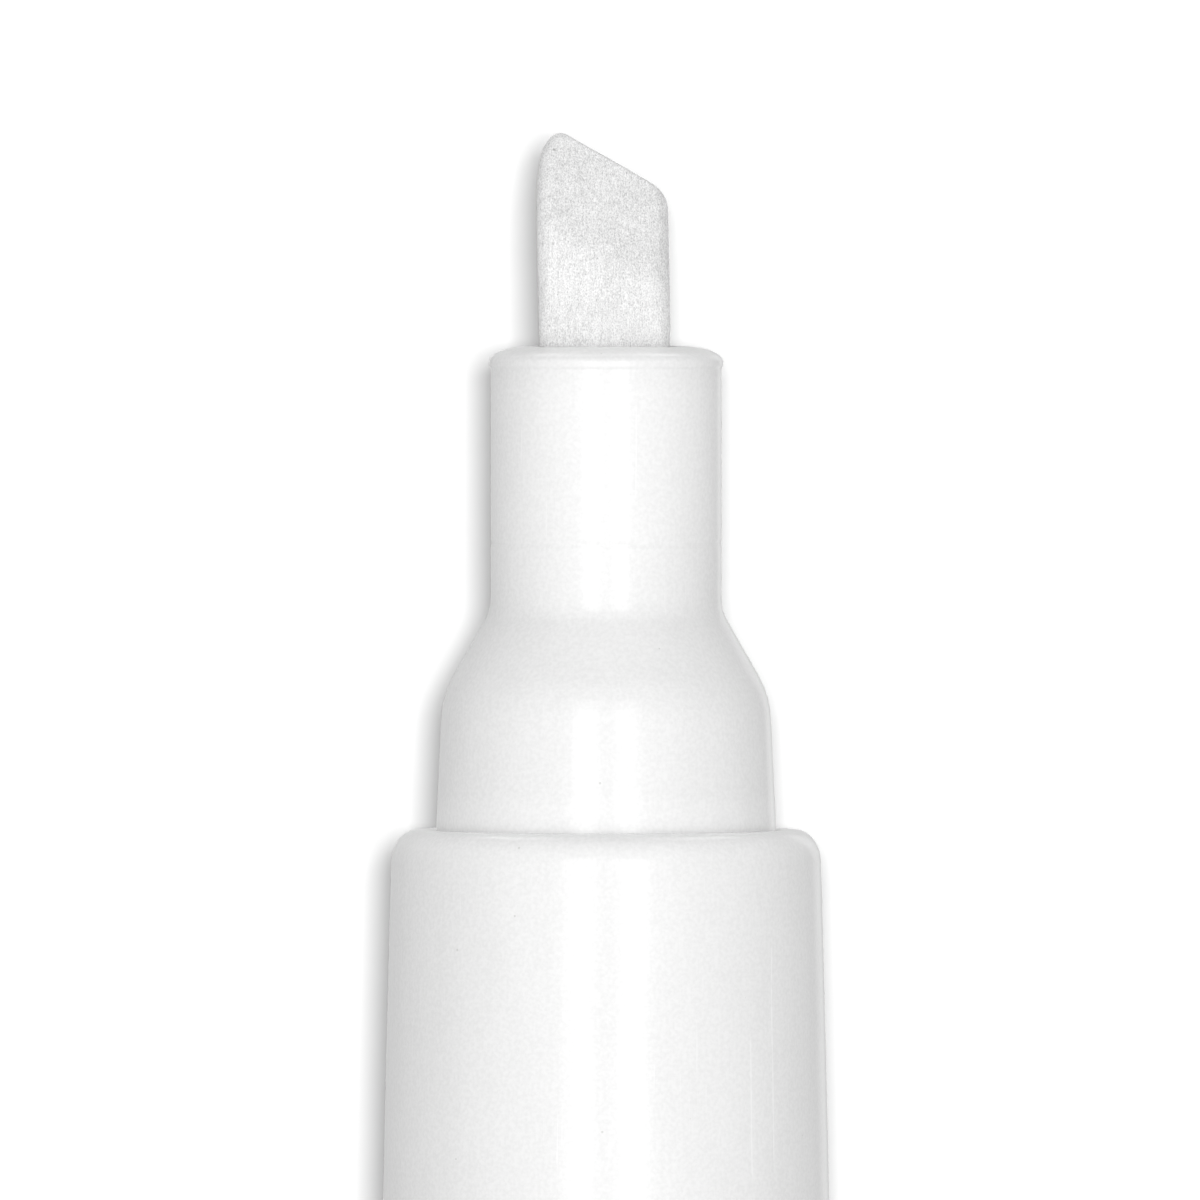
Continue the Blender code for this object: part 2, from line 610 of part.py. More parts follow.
def adopt(name):
    """Name the primitive that was just added and move it to the parts' collection."""
    obj = bpy.context.object
    obj.name = name
    for owner in obj.users_collection:
        owner.objects.unlink(obj)
    collection("paint_marker").objects.link(obj)
    return obj


def flute_cutter():
    """Upright rods in a ring, which cut the grip flutes into the cap's wall."""
    form = bmesh.new()
    middle = FLUTE_RISE + FLUTE_LENGTH / 2.0
    wall_radius = CAP_RADIUS - CAP_DRAFT * (1.0 - middle / CAP_LENGTH)
    ring_radius = wall_radius + FLUTE_RADIUS - FLUTE_DEPTH
    for index in range(FLUTE_COUNT):
        turn = Matrix.Rotation(math.tau * (index + 0.5) / FLUTE_COUNT, 4, "Z")
        rod_place = turn @ Matrix.Translation((ring_radius, 0.0, middle))
        bmesh.ops.create_cone(form, cap_ends=True, segments=FLUTE_SIDES, radius1=FLUTE_RADIUS,
                              radius2=FLUTE_RADIUS, depth=FLUTE_LENGTH, matrix=rod_place)
    mesh = bpy.data.meshes.new("flute_rods")
    form.to_mesh(mesh)
    form.free()
    obj = bpy.data.objects.new("flute_rods", mesh)
    collection("paint_marker").objects.link(obj)
    return obj


def make_cap_shell():
    """Cap, its closed end at the origin, with grip flutes towards that end."""
    shell = turned("cap_shell", [
        (0.0, CAP_END_WALL, 0.0),
        (CAP_BORE, CAP_END_WALL, 0.0),
        (CAP_BORE, CAP_LENGTH, 0.0),
        (CAP_RADIUS, CAP_LENGTH, CAP_LIP_ROUND),
        (CAP_RADIUS - CAP_DRAFT, 0.0, CAP_END_ROUND),
        (0.0, 0.0, 0.0),
    ], steps=2 * FLUTE_COUNT)
    combine(shell, flute_cutter(), "DIFFERENCE")
    return finish(shell, WHITE_PLASTIC)


def make_cap_liner():
    """Inner cup of the cap, which stands on the cap's end wall and seals on the nib holder."""
    mouth = CAP_LENGTH - LINER_MOUTH_DEPTH
    outer = LINER_BORE + LINER_WALL
    foot = LINER_FLOOR - LINER_WALL
    liner = turned("cap_liner", [
        (0.0, LINER_FLOOR, 0.0),
        (LINER_BORE, LINER_FLOOR, 0.0),
        (LINER_BORE, mouth, 0.0),
        (CAP_BORE - FIT_GAP, mouth, 0.0),
        (CAP_BORE - FIT_GAP, mouth - LINER_FLANGE, 0.0),
        (outer, mouth - LINER_FLANGE, 0.0),
        (outer, foot, 0.0),
        (0.0, foot, 0.0),
    ])
    return finish(liner, SOFT_PLASTIC)


def main():
    """Build every piece and hang it from its group's empty."""
    clear_scene()
    cap_axis = axis_empty("cap_axis", 0.0)
    place(make_cap_shell(), cap_axis)
    place(make_cap_liner(), cap_axis)

    barrel_axis = axis_empty("barrel_axis", MOUTH_PLANE, cap_axis)
    place(make_barrel(), barrel_axis)
    place(make_tail_plug(), barrel_axis, (0.0, 0.0, -BARREL_LENGTH))
    place(make_tail_seal(), barrel_axis, (0.0, 0.0, -BARREL_LENGTH + PLUG_DEPTH / 2.0))
    ball_height = -BARREL_LENGTH + PLUG_DEPTH + SEAT_GAP + BALL_RADIUS
    for number, side in ((1, -1.0), (2, 1.0)):
        ball_place = (side * (BALL_RADIUS + BALL_SPACING / 2.0), 0.0, ball_height)
        place(make_mixing_ball(f"mixing_ball_{number}"), barrel_axis, ball_place)

    section_axis = axis_empty("section_axis", 0.0, barrel_axis)
    place(make_section_seal(), section_axis)
    place(make_front_section(), section_axis)
    place(make_valve_seat(), section_axis)
    place(make_valve_cage(), section_axis)
    place(make_valve_spring(), section_axis)
    place(make_valve_stem(), section_axis, (0.0, 0.0, NIB_FOOT - SEAT_GAP))
    place(make_nib(), section_axis, (0.0, 0.0, NIB_FOOT))
    bpy.context.view_layer.update()


main()
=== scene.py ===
"""Dressed empty paint marker: fine surfaces and finishes round the fixed frame of its solids.

Metres, +Z up, as in the frame. The marker stands nib up on its posted cap with its long axis on Z,
and the camera looks along +Y at the nib's wide face, with the point of the slanted edge on the left.
"""
from __future__ import annotations

import logging
import math
from collections.abc import Callable, Sequence
from dataclasses import dataclass, field
from enum import Enum
from typing import ClassVar

import bmesh
import bpy
import numpy as np
from mathutils import Euler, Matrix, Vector


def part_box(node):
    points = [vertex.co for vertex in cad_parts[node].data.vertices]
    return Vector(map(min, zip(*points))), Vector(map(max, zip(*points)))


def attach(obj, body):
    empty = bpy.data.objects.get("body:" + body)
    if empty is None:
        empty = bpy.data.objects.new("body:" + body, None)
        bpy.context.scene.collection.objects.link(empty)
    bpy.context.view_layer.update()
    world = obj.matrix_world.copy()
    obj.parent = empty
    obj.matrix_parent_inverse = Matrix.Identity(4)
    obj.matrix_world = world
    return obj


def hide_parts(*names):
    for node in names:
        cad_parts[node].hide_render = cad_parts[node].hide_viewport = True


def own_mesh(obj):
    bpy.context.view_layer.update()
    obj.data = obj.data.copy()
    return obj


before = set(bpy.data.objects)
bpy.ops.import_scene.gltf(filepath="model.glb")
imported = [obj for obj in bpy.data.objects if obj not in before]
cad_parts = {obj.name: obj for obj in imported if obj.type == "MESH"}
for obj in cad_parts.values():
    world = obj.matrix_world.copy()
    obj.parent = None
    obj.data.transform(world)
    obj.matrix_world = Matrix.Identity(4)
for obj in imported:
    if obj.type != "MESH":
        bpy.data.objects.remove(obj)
log = logging.getLogger("paint_marker")

MM = 0.001
WELD = 1e-7  # points closer than this are one
APART = 10.0 * WELD  # closest neighbours along a divided profile
ARC_STEP = math.radians(7.0)  # longest step along a fillet
FILLET_LIMIT = 0.49  # share of the shorter edge beside a corner that its fillet may take
ROLL_POINTS = 19  # points along a rolled edge
SHARP_ANGLE = math.radians(40.0)  # edges that turn by more stay sharp
NOISE_RANGE = (0.3, 0.7)  # most of a noise's values lie between these
WHITE = (1.0, 1.0, 1.0, 1.0)

Span = tuple[float, float]
Triple = tuple[float, float, float]
Values = dict[str, float]
Socket = bpy.types.NodeSocket
Sockets = bpy.types.bpy_prop_collection
Relief = Callable[[np.ndarray, np.ndarray, np.ndarray], np.ndarray]


class Slot(Enum):
    """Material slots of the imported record."""

    WHITE_PLASTIC = "white_plastic"
    SOFT_PLASTIC = "soft_plastic"
    FELT = "felt"
    SEAL_RUBBER = "seal_rubber"
    SPRING_STEEL = "spring_steel"
    BALL_STEEL = "ball_steel"


class Body(Enum):
    """Bodies of the frame that a piece can ride on."""

    CAP = "cap"
    BARREL = "barrel"
    SEAL = "section_seal"
    SECTION = "section"
    NIB = "nib"
    BALL_1 = "ball_1"
    BALL_2 = "ball_2"


class Profile(Enum):
    """How a turned profile ends."""

    RING = "closed loop beside the axis"
    SOLID = "open line that starts and ends on the axis"


@dataclass(frozen=True)
class Corner:
    """Corner of a turned profile.

    Attributes:
        radius: Distance from the marker's axis.
        height: Height above the ground.
        fillet: Radius of the arc that rounds the corner.
    """

    radius: float
    height: float
    fillet: float = 0.0


@dataclass(frozen=True)
class NodeBox:
    """Resting box of one node of the frame."""

    low: Vector
    high: Vector

    @classmethod
    def of(cls, node: str) -> NodeBox:
        """Read a node's box from the frame."""
        return cls(*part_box(node))

    @property
    def radius(self) -> float:
        """Half the box's width, which is a turned node's largest radius."""
        return (self.high.x - self.low.x) / 2.0

    @property
    def half_depth(self) -> float:
        """Half the box's size from front to back."""
        return (self.high.y - self.low.y) / 2.0

    @property
    def top(self) -> float:
        """Height of the box's upper side."""
        return self.high.z

    @property
    def bottom(self) -> float:
        """Height of the box's lower side."""
        return self.low.z


def node_box(node: str) -> NodeBox:
    """Field of a sub-assembly that holds a node's resting box."""
    return field(default_factory=lambda: NodeBox.of(node))


def smooth_step(value: np.ndarray) -> np.ndarray:
    """Cubic ease from 0 to 1, level at both ends, for values that run from 0 to 1."""
    share = np.clip(value, 0.0, 1.0)
    return share * share * (3.0 - 2.0 * share)


def rounded_outline(corners: Sequence[Corner]) -> np.ndarray:
    """Run a line through the corners, with an arc tangent to both edges at each that has a fillet.

    Args:
        corners: Corners in order; a fillet at the first or last takes the other end as its neighbour.

    Returns:
        Points as complex numbers, radius + height * i.
    """
    points = np.array([complex(corner.radius, corner.height) for corner in corners])
    stretches = []
    for index, corner in enumerate(corners):
        here = points[index]
        if corner.fillet == 0.0:
            stretches.append(np.array([here]))
            continue
        before = points[index - 1] - here
        after = points[(index + 1) % len(points)] - here
        half = abs(np.angle(after / before)) / 2.0
        reach = min(corner.fillet / math.tan(half), FILLET_LIMIT * min(abs(before), abs(after)))
        inwards = before / abs(before) + after / abs(after)
        centre = here + inwards / abs(inwards) * reach / math.cos(half)
        start = here + before / abs(before) * reach - centre
        end = here + after / abs(after) * reach - centre
        sweep = np.angle(end / start)
        steps = max(2, math.ceil(abs(sweep) / ARC_STEP))
        stretches.append(centre + start * np.exp(1j * sweep * np.linspace(0.0, 1.0, steps + 1)))
    return np.concatenate(stretches)


def corners_along(radii: np.ndarray, heights: np.ndarray) -> list[Corner]:
    """Make plain corners of two rows of numbers."""
    return [Corner(radius, height) for radius, height in zip(radii.tolist(), heights.tolist())]


def quarter_ellipse(outer: float, top: float, width: float, height: float,
                    start: float = 0.0) -> list[Corner]:
    """Roll an edge over a quarter ellipse.

    At the turn t, radius = outer - width (1 - sin t) and height = top - height (1 - cos t).

    Args:
        outer: Radius at which the roll ends, upright.
        top: Height at which it begins, level.
        width: Half axis across.
        height: Half axis upright.
        start: Sine of the turn t at which the roll begins, for one that is cut off.

    Returns:
        Corners from the top down.
    """
    turn = np.linspace(math.asin(start), math.pi / 2.0, ROLL_POINTS)
    return corners_along(outer - width * (1.0 - np.sin(turn)), top - height * (1.0 - np.cos(turn)))


def densified(profile: np.ndarray, step: float) -> np.ndarray:
    """Add points along a profile, at equal steps of its length, and keep its own points.

    Args:
        profile: Points as complex numbers.
        step: Longest distance between two neighbours.

    Returns:
        The finer profile.
    """
    length = np.concatenate(([0.0], np.cumsum(np.abs(np.diff(profile)))))
    places = np.unique(np.concatenate((length, np.arange(0.0, length[-1], step))))
    apart = np.concatenate(([True], np.diff(places) > APART))
    places = places[apart]
    return np.interp(places, length, profile.real) + 1j * np.interp(places, length, profile.imag)


def full_turn(points: int) -> np.ndarray:
    """Equally spaced angles once round."""
    return np.linspace(0.0, math.tau, points, endpoint=False)


def polar(angle: np.ndarray, radius: float | np.ndarray, height: np.ndarray) -> np.ndarray:
    """Points round the marker's axis: x = r cos a, y = r sin a, z = height."""
    return np.stack((radius * np.cos(angle), radius * np.sin(angle), height), axis=-1)


def turned(profile: np.ndarray, columns: int, relief: Relief | None = None) -> np.ndarray:
    """Turn a profile about Z, with r = profile radius + relief at each angle.

    Args:
        profile: Points as complex numbers, from the top down on the outside.
        columns: Points round the axis.
        relief: Radial offset as a function of angle, height and profile radius.

    Returns:
        Grid of points, rows along the profile and columns round the axis.
    """
    angle = full_turn(columns)[None, :]
    height = np.repeat(profile.imag[:, None], columns, axis=1)
    radius = np.repeat(profile.real[:, None], columns, axis=1)
    if relief is not None:
        radius = radius + relief(angle, height, radius)
    return polar(angle, radius, height)


def lathed(corners: Sequence[Corner], step: float, columns: int,
           relief: Relief | None = None) -> np.ndarray:
    """Round a profile's corners, divide it at equal steps and turn it about the marker's axis."""
    return turned(densified(rounded_outline(corners), step), columns, relief)


def carried(path: np.ndarray, radii: np.ndarray, sides: int) -> np.ndarray:
    """Carry a round section along a path: point = path + r (n cos b + m sin b), n and m square to it.

    Args:
        path: Points of the path, which never runs straight up.
        radii: Section radius at each point.
        sides: Points round the section.

    Returns:
        Grid of points, rows along the path and columns round the section.
    """
    along = np.gradient(path, axis=0)
    along /= np.linalg.norm(along, axis=1, keepdims=True)
    level = np.cross(along, (0.0, 0.0, 1.0))
    level /= np.linalg.norm(level, axis=1, keepdims=True)
    third = np.cross(level, along)
    turn = full_turn(sides)[None, :, None]
    ring = level[:, None, :] * np.cos(turn) + third[:, None, :] * np.sin(turn)
    return path[:, None, :] + radii[:, None, None] * ring


def quads(rows: int, columns: int, loop: bool) -> np.ndarray:
    """Number the quads of a grid whose columns close round.

    Args:
        rows: Rows of the grid.
        columns: Points in a row.
        loop: Whether the last row joins the first.

    Returns:
        Four point numbers for each quad.
    """
    row = np.arange(rows if loop else rows - 1)[:, None]
    column = np.arange(columns)[None, :]
    here, below = row * columns, (row + 1) % rows * columns
    beside = (column + 1) % columns
    around = (here + column, below + column, below + beside, here + beside)
    return np.stack(np.broadcast_arrays(*around), axis=-1).reshape(-1, 4)


def surface(name: str, grid: np.ndarray, loop: bool) -> bpy.types.Object:
    """Make a closed mesh of a grid of points, with poles and seams welded and faces turned outwards.

    Args:
        name: Name of the new object.
        grid: Points, rows by columns by three.
        loop: Whether the last row joins the first.

    Returns:
        The object, at the origin, smooth but for its sharp edges.
    """
    rows, columns, _ = grid.shape
    mesh = bpy.data.meshes.new(name)
    mesh.from_pydata(grid.reshape(-1, 3), [], quads(rows, columns, loop))
    form = bmesh.new()
    form.from_mesh(mesh)
    bmesh.ops.remove_doubles(form, verts=form.verts, dist=WELD)
    bmesh.ops.dissolve_degenerate(form, edges=form.edges, dist=WELD)
    if form.calc_volume(signed=True) < 0.0:
        bmesh.ops.reverse_faces(form, faces=form.faces)
    form.to_mesh(mesh)
    form.free()
    mesh.shade_smooth()
    mesh.set_sharp_from_angle(angle=SHARP_ANGLE)
    obj = bpy.data.objects.new(name, mesh)
    bpy.context.scene.collection.objects.link(obj)
    return obj


class Graph:
    """A node tree that grows by short calls."""

    def __init__(self, tree: bpy.types.NodeTree) -> None:
        """Keep the tree that the calls add to."""
        self.tree = tree

    def node(self, kind: str, inputs: dict | None = None, **settings: object) -> bpy.types.Node:
        """Add a node.

        Args:
            kind: Blender's name of the node type.
            inputs: Sockets to link, or values to set, by the input's name or number.
            settings: Properties of the node.

        Returns:
            The new node.
        """
        made = self.tree.nodes.new(kind)
        for key, value in settings.items():
            setattr(made, key, value)
        for key, value in (inputs or {}).items():
            if isinstance(value, Socket):
                self.tree.links.new(value, made.inputs[key])
            else:
                made.inputs[key].default_value = value
        return made

    def maths(self, operation: str, first: object, second: object = 0.0, *more: object) -> Socket:
        """Combine two values, or several one after the other, by one operation."""
        made = self.node("ShaderNodeMath", {0: first, 1: second}, operation=operation).outputs[0]
        return self.maths(operation, made, *more) if more else made

    def mixed(self, share: object, first: object, second: object) -> Socket:
        """Mix two colours."""
        return self.node("ShaderNodeMix", {0: share, 6: first, 7: second}, data_type="RGBA").outputs[2]

    def stretched(self, value: object, low: object, high: object, to_low: float = 0.0,
                  to_high: float = 1.0) -> Socket:
        """Map a value's range from low..high to another range, held at both ends."""
        inputs = {"Value": value, "From Min": low, "From Max": high, "To Min": to_low, "To Max": to_high}
        return self.node("ShaderNodeMapRange", inputs).outputs[0]

    def noise(self, place: object, scale: object, detail: float, roughness: float = 0.5) -> Socket:
        """Fractal noise at a place, as a value from 0 to 1."""
        inputs = {"Vector": place, "Scale": scale, "Detail": detail, "Roughness": roughness}
        return self.node("ShaderNodeTexNoise", inputs).outputs["Fac"]

    def object_place(self, stretch: Triple = (1.0, 1.0, 1.0)) -> Socket:
        """Object coordinates, scaled along each axis."""
        place = self.node("ShaderNodeTexCoord").outputs["Object"]
        return self.node("ShaderNodeMapping", {"Vector": place, "Scale": stretch}).outputs[0]

    def object_axes(self) -> Sockets:
        """Object coordinates as three values."""
        return self.node("ShaderNodeSeparateXYZ", {0: self.object_place()}).outputs


@dataclass(frozen=True)
class NoiseLayer:
    """One layer of noise on Object coordinates.

    Attributes:
        stretch: Scale along each axis.
        scale: Waves in a metre.
        detail: Number of finer layers on it.
        roughness: Strength of the finer layers.
    """

    stretch: Triple
    scale: float
    detail: float
    roughness: float = 0.5

    def value(self, graph: Graph) -> Socket:
        """Add the layer's nodes."""
        return graph.noise(graph.object_place(self.stretch), self.scale, self.detail, self.roughness)


class SharedGroup:
    """A shader node group that several finishes place, built once by its name."""

    name: str = ""
    inputs: tuple[str, ...] = ()
    outputs: tuple[str, ...] = ()

    @classmethod
    def tree(cls) -> bpy.types.NodeTree:
        """Find the group, or build it with its sockets.

        Returns:
            The group's nodes.
        """
        found = bpy.data.node_groups.get(cls.name)
        if found is not None:
            return found
        made = bpy.data.node_groups.new(cls.name, "ShaderNodeTree")
        for way, names in (("INPUT", cls.inputs), ("OUTPUT", cls.outputs)):
            for socket in names:
                made.interface.new_socket(socket, in_out=way, socket_type="NodeSocketFloat")
        graph = Graph(made)
        results = cls.build(graph, graph.node("NodeGroupInput").outputs)
        graph.node("NodeGroupOutput", dict(zip(cls.outputs, results)))
        return made

    @classmethod
    def build(cls, graph: Graph, given: Sockets) -> tuple[Socket, ...]:
        """Add the group's nodes, which start from the given inputs, and return its outputs in order."""
        raise NotImplementedError

    @classmethod
    def place(cls, graph: Graph, **values: float) -> Sockets:
        """Put the group into a material.

        Args:
            graph: The material's nodes.
            values: Input values, with underscores for the spaces of the sockets' names.

        Returns:
            The group's outputs.
        """
        node = graph.node("ShaderNodeGroup", node_tree=cls.tree())
        for key, value in values.items():
            node.inputs[key.replace("_", " ")].default_value = value
        return node.outputs


class MouldedGrain(SharedGroup):
    """Surface of a moulded part: fine grain, drag lines along the marker, slow mottling, rare scratches."""

    name = "moulded grain"
    inputs = ("grain scale", "drag scale", "mottle scale")
    outputs = ("height", "mottle", "scratch")
    drag_share: float = 0.18  # share of the drag lines in the height
    drag_stretch: Triple = (1.0, 1.0, 0.02)
    mottle_stretch: Triple = (1.0, 1.0, 0.4)
    thin_lines: Span = (0.64, 0.70)  # drag values between which a scratch sets in
    scratched: Span = (0.52, 0.62)  # mottling between which scratches set in

    @classmethod
    def build(cls, graph: Graph, given: Sockets) -> tuple[Socket, ...]:
        """Mix isotropic noise with noise that is drawn out along Z.

        Args:
            graph: The group's nodes.
            given: Scales of grain, drag lines and mottling.

        Returns:
            Height, mottling and scratches.
        """
        grain = graph.noise(graph.object_place(), given["grain scale"], 2.0)
        drag = graph.noise(graph.object_place(cls.drag_stretch), given["drag scale"], 3.0)
        mottle = graph.noise(graph.object_place(cls.mottle_stretch), given["mottle scale"], 3.0)
        height = graph.maths("ADD", graph.maths("MULTIPLY", grain, 1.0 - cls.drag_share),
                             graph.maths("MULTIPLY", drag, cls.drag_share))
        scratch = graph.maths("MULTIPLY", graph.stretched(drag, *cls.thin_lines),
                              graph.stretched(mottle, *cls.scratched))
        return height, mottle, scratch


class DustSpecks(SharedGroup):
    """Rare round specks: cells of a Voronoi pattern whose own random value is high."""

    name = "dust specks"
    inputs = ("speck scale", "speck radius", "rarity")
    outputs = ("speck",)

    @classmethod
    def build(cls, graph: Graph, given: Sockets) -> tuple[Socket, ...]:
        """Keep the middle of the chosen cells.

        Args:
            graph: The group's nodes.
            given: Scale of the cells, radius of a speck and value above which a cell has one.

        Returns:
            The specks' mask.
        """
        cells = graph.node("ShaderNodeTexVoronoi",
                           {"Vector": graph.object_place(), "Scale": given["speck scale"]}).outputs
        chance = graph.node("ShaderNodeSeparateColor", {0: cells["Color"]}).outputs[0]
        chosen = graph.maths("GREATER_THAN", chance, given["rarity"])
        middle = graph.maths("LESS_THAN", cells["Distance"], given["speck radius"])
        return (graph.maths("MULTIPLY", chosen, middle),)


class HandlingScratch(SharedGroup):
    """One light scratch along the marker: a thin line at an angle round the axis, between two heights."""

    name = "handling scratch"
    inputs = ("turn", "half width", "low", "high")
    outputs = ("scratch",)
    wander: float = 0.05  # how far the line strays, in radians
    wander_scale: float = 110.0
    fade: float = 1.0 * MM
    break_scale: float = 1300.0
    breaks: tuple[float, ...] = (0.38, 0.56, 0.25, 1.0)  # noise from and to, strength of the line there

    @classmethod
    def build(cls, graph: Graph, given: Sockets) -> tuple[Socket, ...]:
        """Fade the distance from the line to nought, and break it up along its length.

        Args:
            graph: The group's nodes.
            given: Angle round the axis, half width and both ends' heights.

        Returns:
            The scratch's mask.
        """
        x, y, z = graph.object_axes()
        upright = graph.object_place((0.0, 0.0, 1.0))
        stray = graph.maths("SUBTRACT", graph.noise(upright, cls.wander_scale, 1.0), 0.5)
        around = graph.maths("SUBTRACT", graph.maths("ARCTAN2", y, x), given["turn"])
        off_angle = graph.maths("ADD", around, graph.maths("MULTIPLY", stray, cls.wander))
        radius = graph.maths("SQRT", graph.maths("ADD", graph.maths("MULTIPLY", x, x),
                                                 graph.maths("MULTIPLY", y, y)))
        off_line = graph.maths("MULTIPLY", graph.maths("ABSOLUTE", off_angle), radius)
        line = graph.stretched(off_line, given["half width"], 0.0)
        above = graph.stretched(graph.maths("SUBTRACT", z, given["low"]), 0.0, cls.fade)
        below = graph.stretched(graph.maths("SUBTRACT", given["high"], z), 0.0, cls.fade)
        broken = graph.stretched(graph.noise(upright, cls.break_scale, 2.0), *cls.breaks)
        return (graph.maths("MULTIPLY", line, above, below, broken),)


@dataclass(frozen=True)
class Scratch:
    """Place of one scratch along the marker.

    Attributes:
        turn: Angle round the axis, from +X.
        low: Height of its lower end.
        high: Height of its upper end.
        half_width: Half its width.
    """

    turn: float
    low: float
    high: float
    half_width: float = 0.055 * MM


@dataclass(frozen=True)
class PaintedLightBand:
    """Stretch of a moulding whose colour is painted lighter or darker: painted light and painted shade in
    place of the lamps' own light and shade there.

    Attributes:
        start: Height at which the tone begins to change.
        full: Height from which on it has changed.
        lift: Share by which its colour is painted lighter there, or painted darker where it is below nought.
    """

    start: float
    full: float
    lift: float


@dataclass(frozen=True)
class Finish:
    """A surface finish.

    Attributes:
        name: Name of the material.
        slot: Slot of the record that it fills; not used.
    """

    name: str
    slot: Slot

    def material(self) -> bpy.types.Material:
        """Find the finish's material, or make it.

        Returns:
            The material.
        """
        found = bpy.data.materials.get(self.name)
        if found is not None:
            return found
        made = bpy.data.materials.new(self.name)
        made.use_nodes = True
        self.dress(Graph(made.node_tree), made.node_tree.nodes["Principled BSDF"])
        return made

    def dress(self, graph: Graph, shader: bpy.types.Node) -> None:
        """Add the nodes that feed the shader."""
        raise NotImplementedError

    @staticmethod
    def feed(graph: Graph, shader: bpy.types.Node, colour: Socket, roughness: Socket, height: Socket,
             relief: float) -> None:
        """Link what changes over the surface to the shader.

        Args:
            graph: The material's nodes.
            shader: The shader.
            colour: Colour of the surface.
            roughness: Its roughness.
            height: Its fine relief, from 0 to 1.
            relief: Real height of that relief.
        """
        bump = graph.node("ShaderNodeBump", {"Height": height, "Distance": relief}).outputs[0]
        for name, socket in (("Base Color", colour), ("Roughness", roughness), ("Normal", bump)):
            graph.tree.links.new(socket, shader.inputs[name])


@dataclass(frozen=True)
class MouldedPlastic(Finish):
    """Moulded plastic with drag lines, slow mottling, faint scratches, a few specks of dust and bands of
    painted light and shade.

    Attributes:
        light: Colour of the grain's ridges.
        dark: Colour of its hollows.
        scuff: Colour of a scratch.
        dust: Colour of a speck.
        gloss: Roughness where the surface is plain.
        dull: Roughness where it is worn.
        relief: Height of the grain.
        grain_scale: Waves of the grain in a metre.
        drag_scale: Drag lines in a metre.
        clouding: Share of the light that scatters under the surface.
        scratches: Scratches from handling.
        wall_tones: Stretches whose colour is painted lighter or darker, as painted light and painted shade.
    """

    light: Triple = (0.910, 0.910, 0.909)
    dark: Triple = (0.830, 0.830, 0.829)
    scuff: Triple = (0.95, 0.95, 0.95)
    dust: Triple = (0.72, 0.72, 0.71)
    gloss: float = 0.16
    dull: float = 0.26
    relief: float = 0.0014 * MM
    grain_scale: float = 6800.0
    drag_scale: float = 9000.0
    clouding: float = 0.08
    scratches: tuple[Scratch, ...] = ()
    wall_tones: tuple[PaintedLightBand, ...] = ()
    mottle_scale: ClassVar[float] = 420.0
    mottle_shade: ClassVar[float] = 0.3  # share of the mottling in the shade, the grain has the rest
    grain_range: ClassVar[Span] = (0.36, 0.64)
    scratch_share: ClassVar[float] = 0.5  # share of the scratches in the wear, the mottling has the rest
    specks: ClassVar[Values] = {"speck_scale": 900.0, "speck_radius": 0.045, "rarity": 0.75}
    constants: ClassVar[dict[str, object]] = {
        "IOR": 1.49, "Subsurface Radius": (1.0, 1.0, 1.0), "Subsurface Scale": 0.6 * MM}

    def dress(self, graph: Graph, shader: bpy.types.Node) -> None:
        """Vary colour, roughness and bump over the surface.

        Args:
            graph: The material's nodes.
            shader: The shader that they feed.
        """
        grain = MouldedGrain.place(graph, grain_scale=self.grain_scale, drag_scale=self.drag_scale,
                                   mottle_scale=self.mottle_scale)
        mottled = graph.stretched(grain["mottle"], *NOISE_RANGE)
        grained = graph.stretched(grain["height"], *self.grain_range, 0.0, 1.0 - self.mottle_shade)
        shade = graph.maths("ADD", graph.maths("MULTIPLY", mottled, self.mottle_shade), grained)
        colour = graph.mixed(shade, (*self.light, 1.0), (*self.dark, 1.0))
        moulded = graph.maths("MULTIPLY", grain["scratch"], self.scratch_share)
        lines = [HandlingScratch.place(graph, **vars(scratch))["scratch"] for scratch in self.scratches]
        for line in (moulded, *lines):
            colour = graph.mixed(line, colour, (*self.scuff, 1.0))
        speck = DustSpecks.place(graph, **self.specks)["speck"]
        colour = graph.mixed(speck, colour, (*self.dust, 1.0))
        # painted light and painted shade: each band scales the colour lighter or darker by height
        for wall in self.wall_tones:
            lift = graph.stretched(graph.object_axes()[2], wall.start, wall.full, 1.0, 1.0 + wall.lift)
            lifted = graph.node("ShaderNodeVectorMath", {0: colour, "Scale": lift}, operation="SCALE")
            colour = lifted.outputs[0]
        worn = graph.maths("ADD", moulded, graph.maths("MULTIPLY", mottled, 1.0 - self.scratch_share))
        roughness = graph.stretched(worn, 0.0, 1.0, self.gloss, self.dull)
        self.feed(graph, shader, colour, roughness, grain["height"], self.relief)
        for name, value in {**self.constants, "Subsurface Weight": self.clouding}.items():
            shader.inputs[name].default_value = value


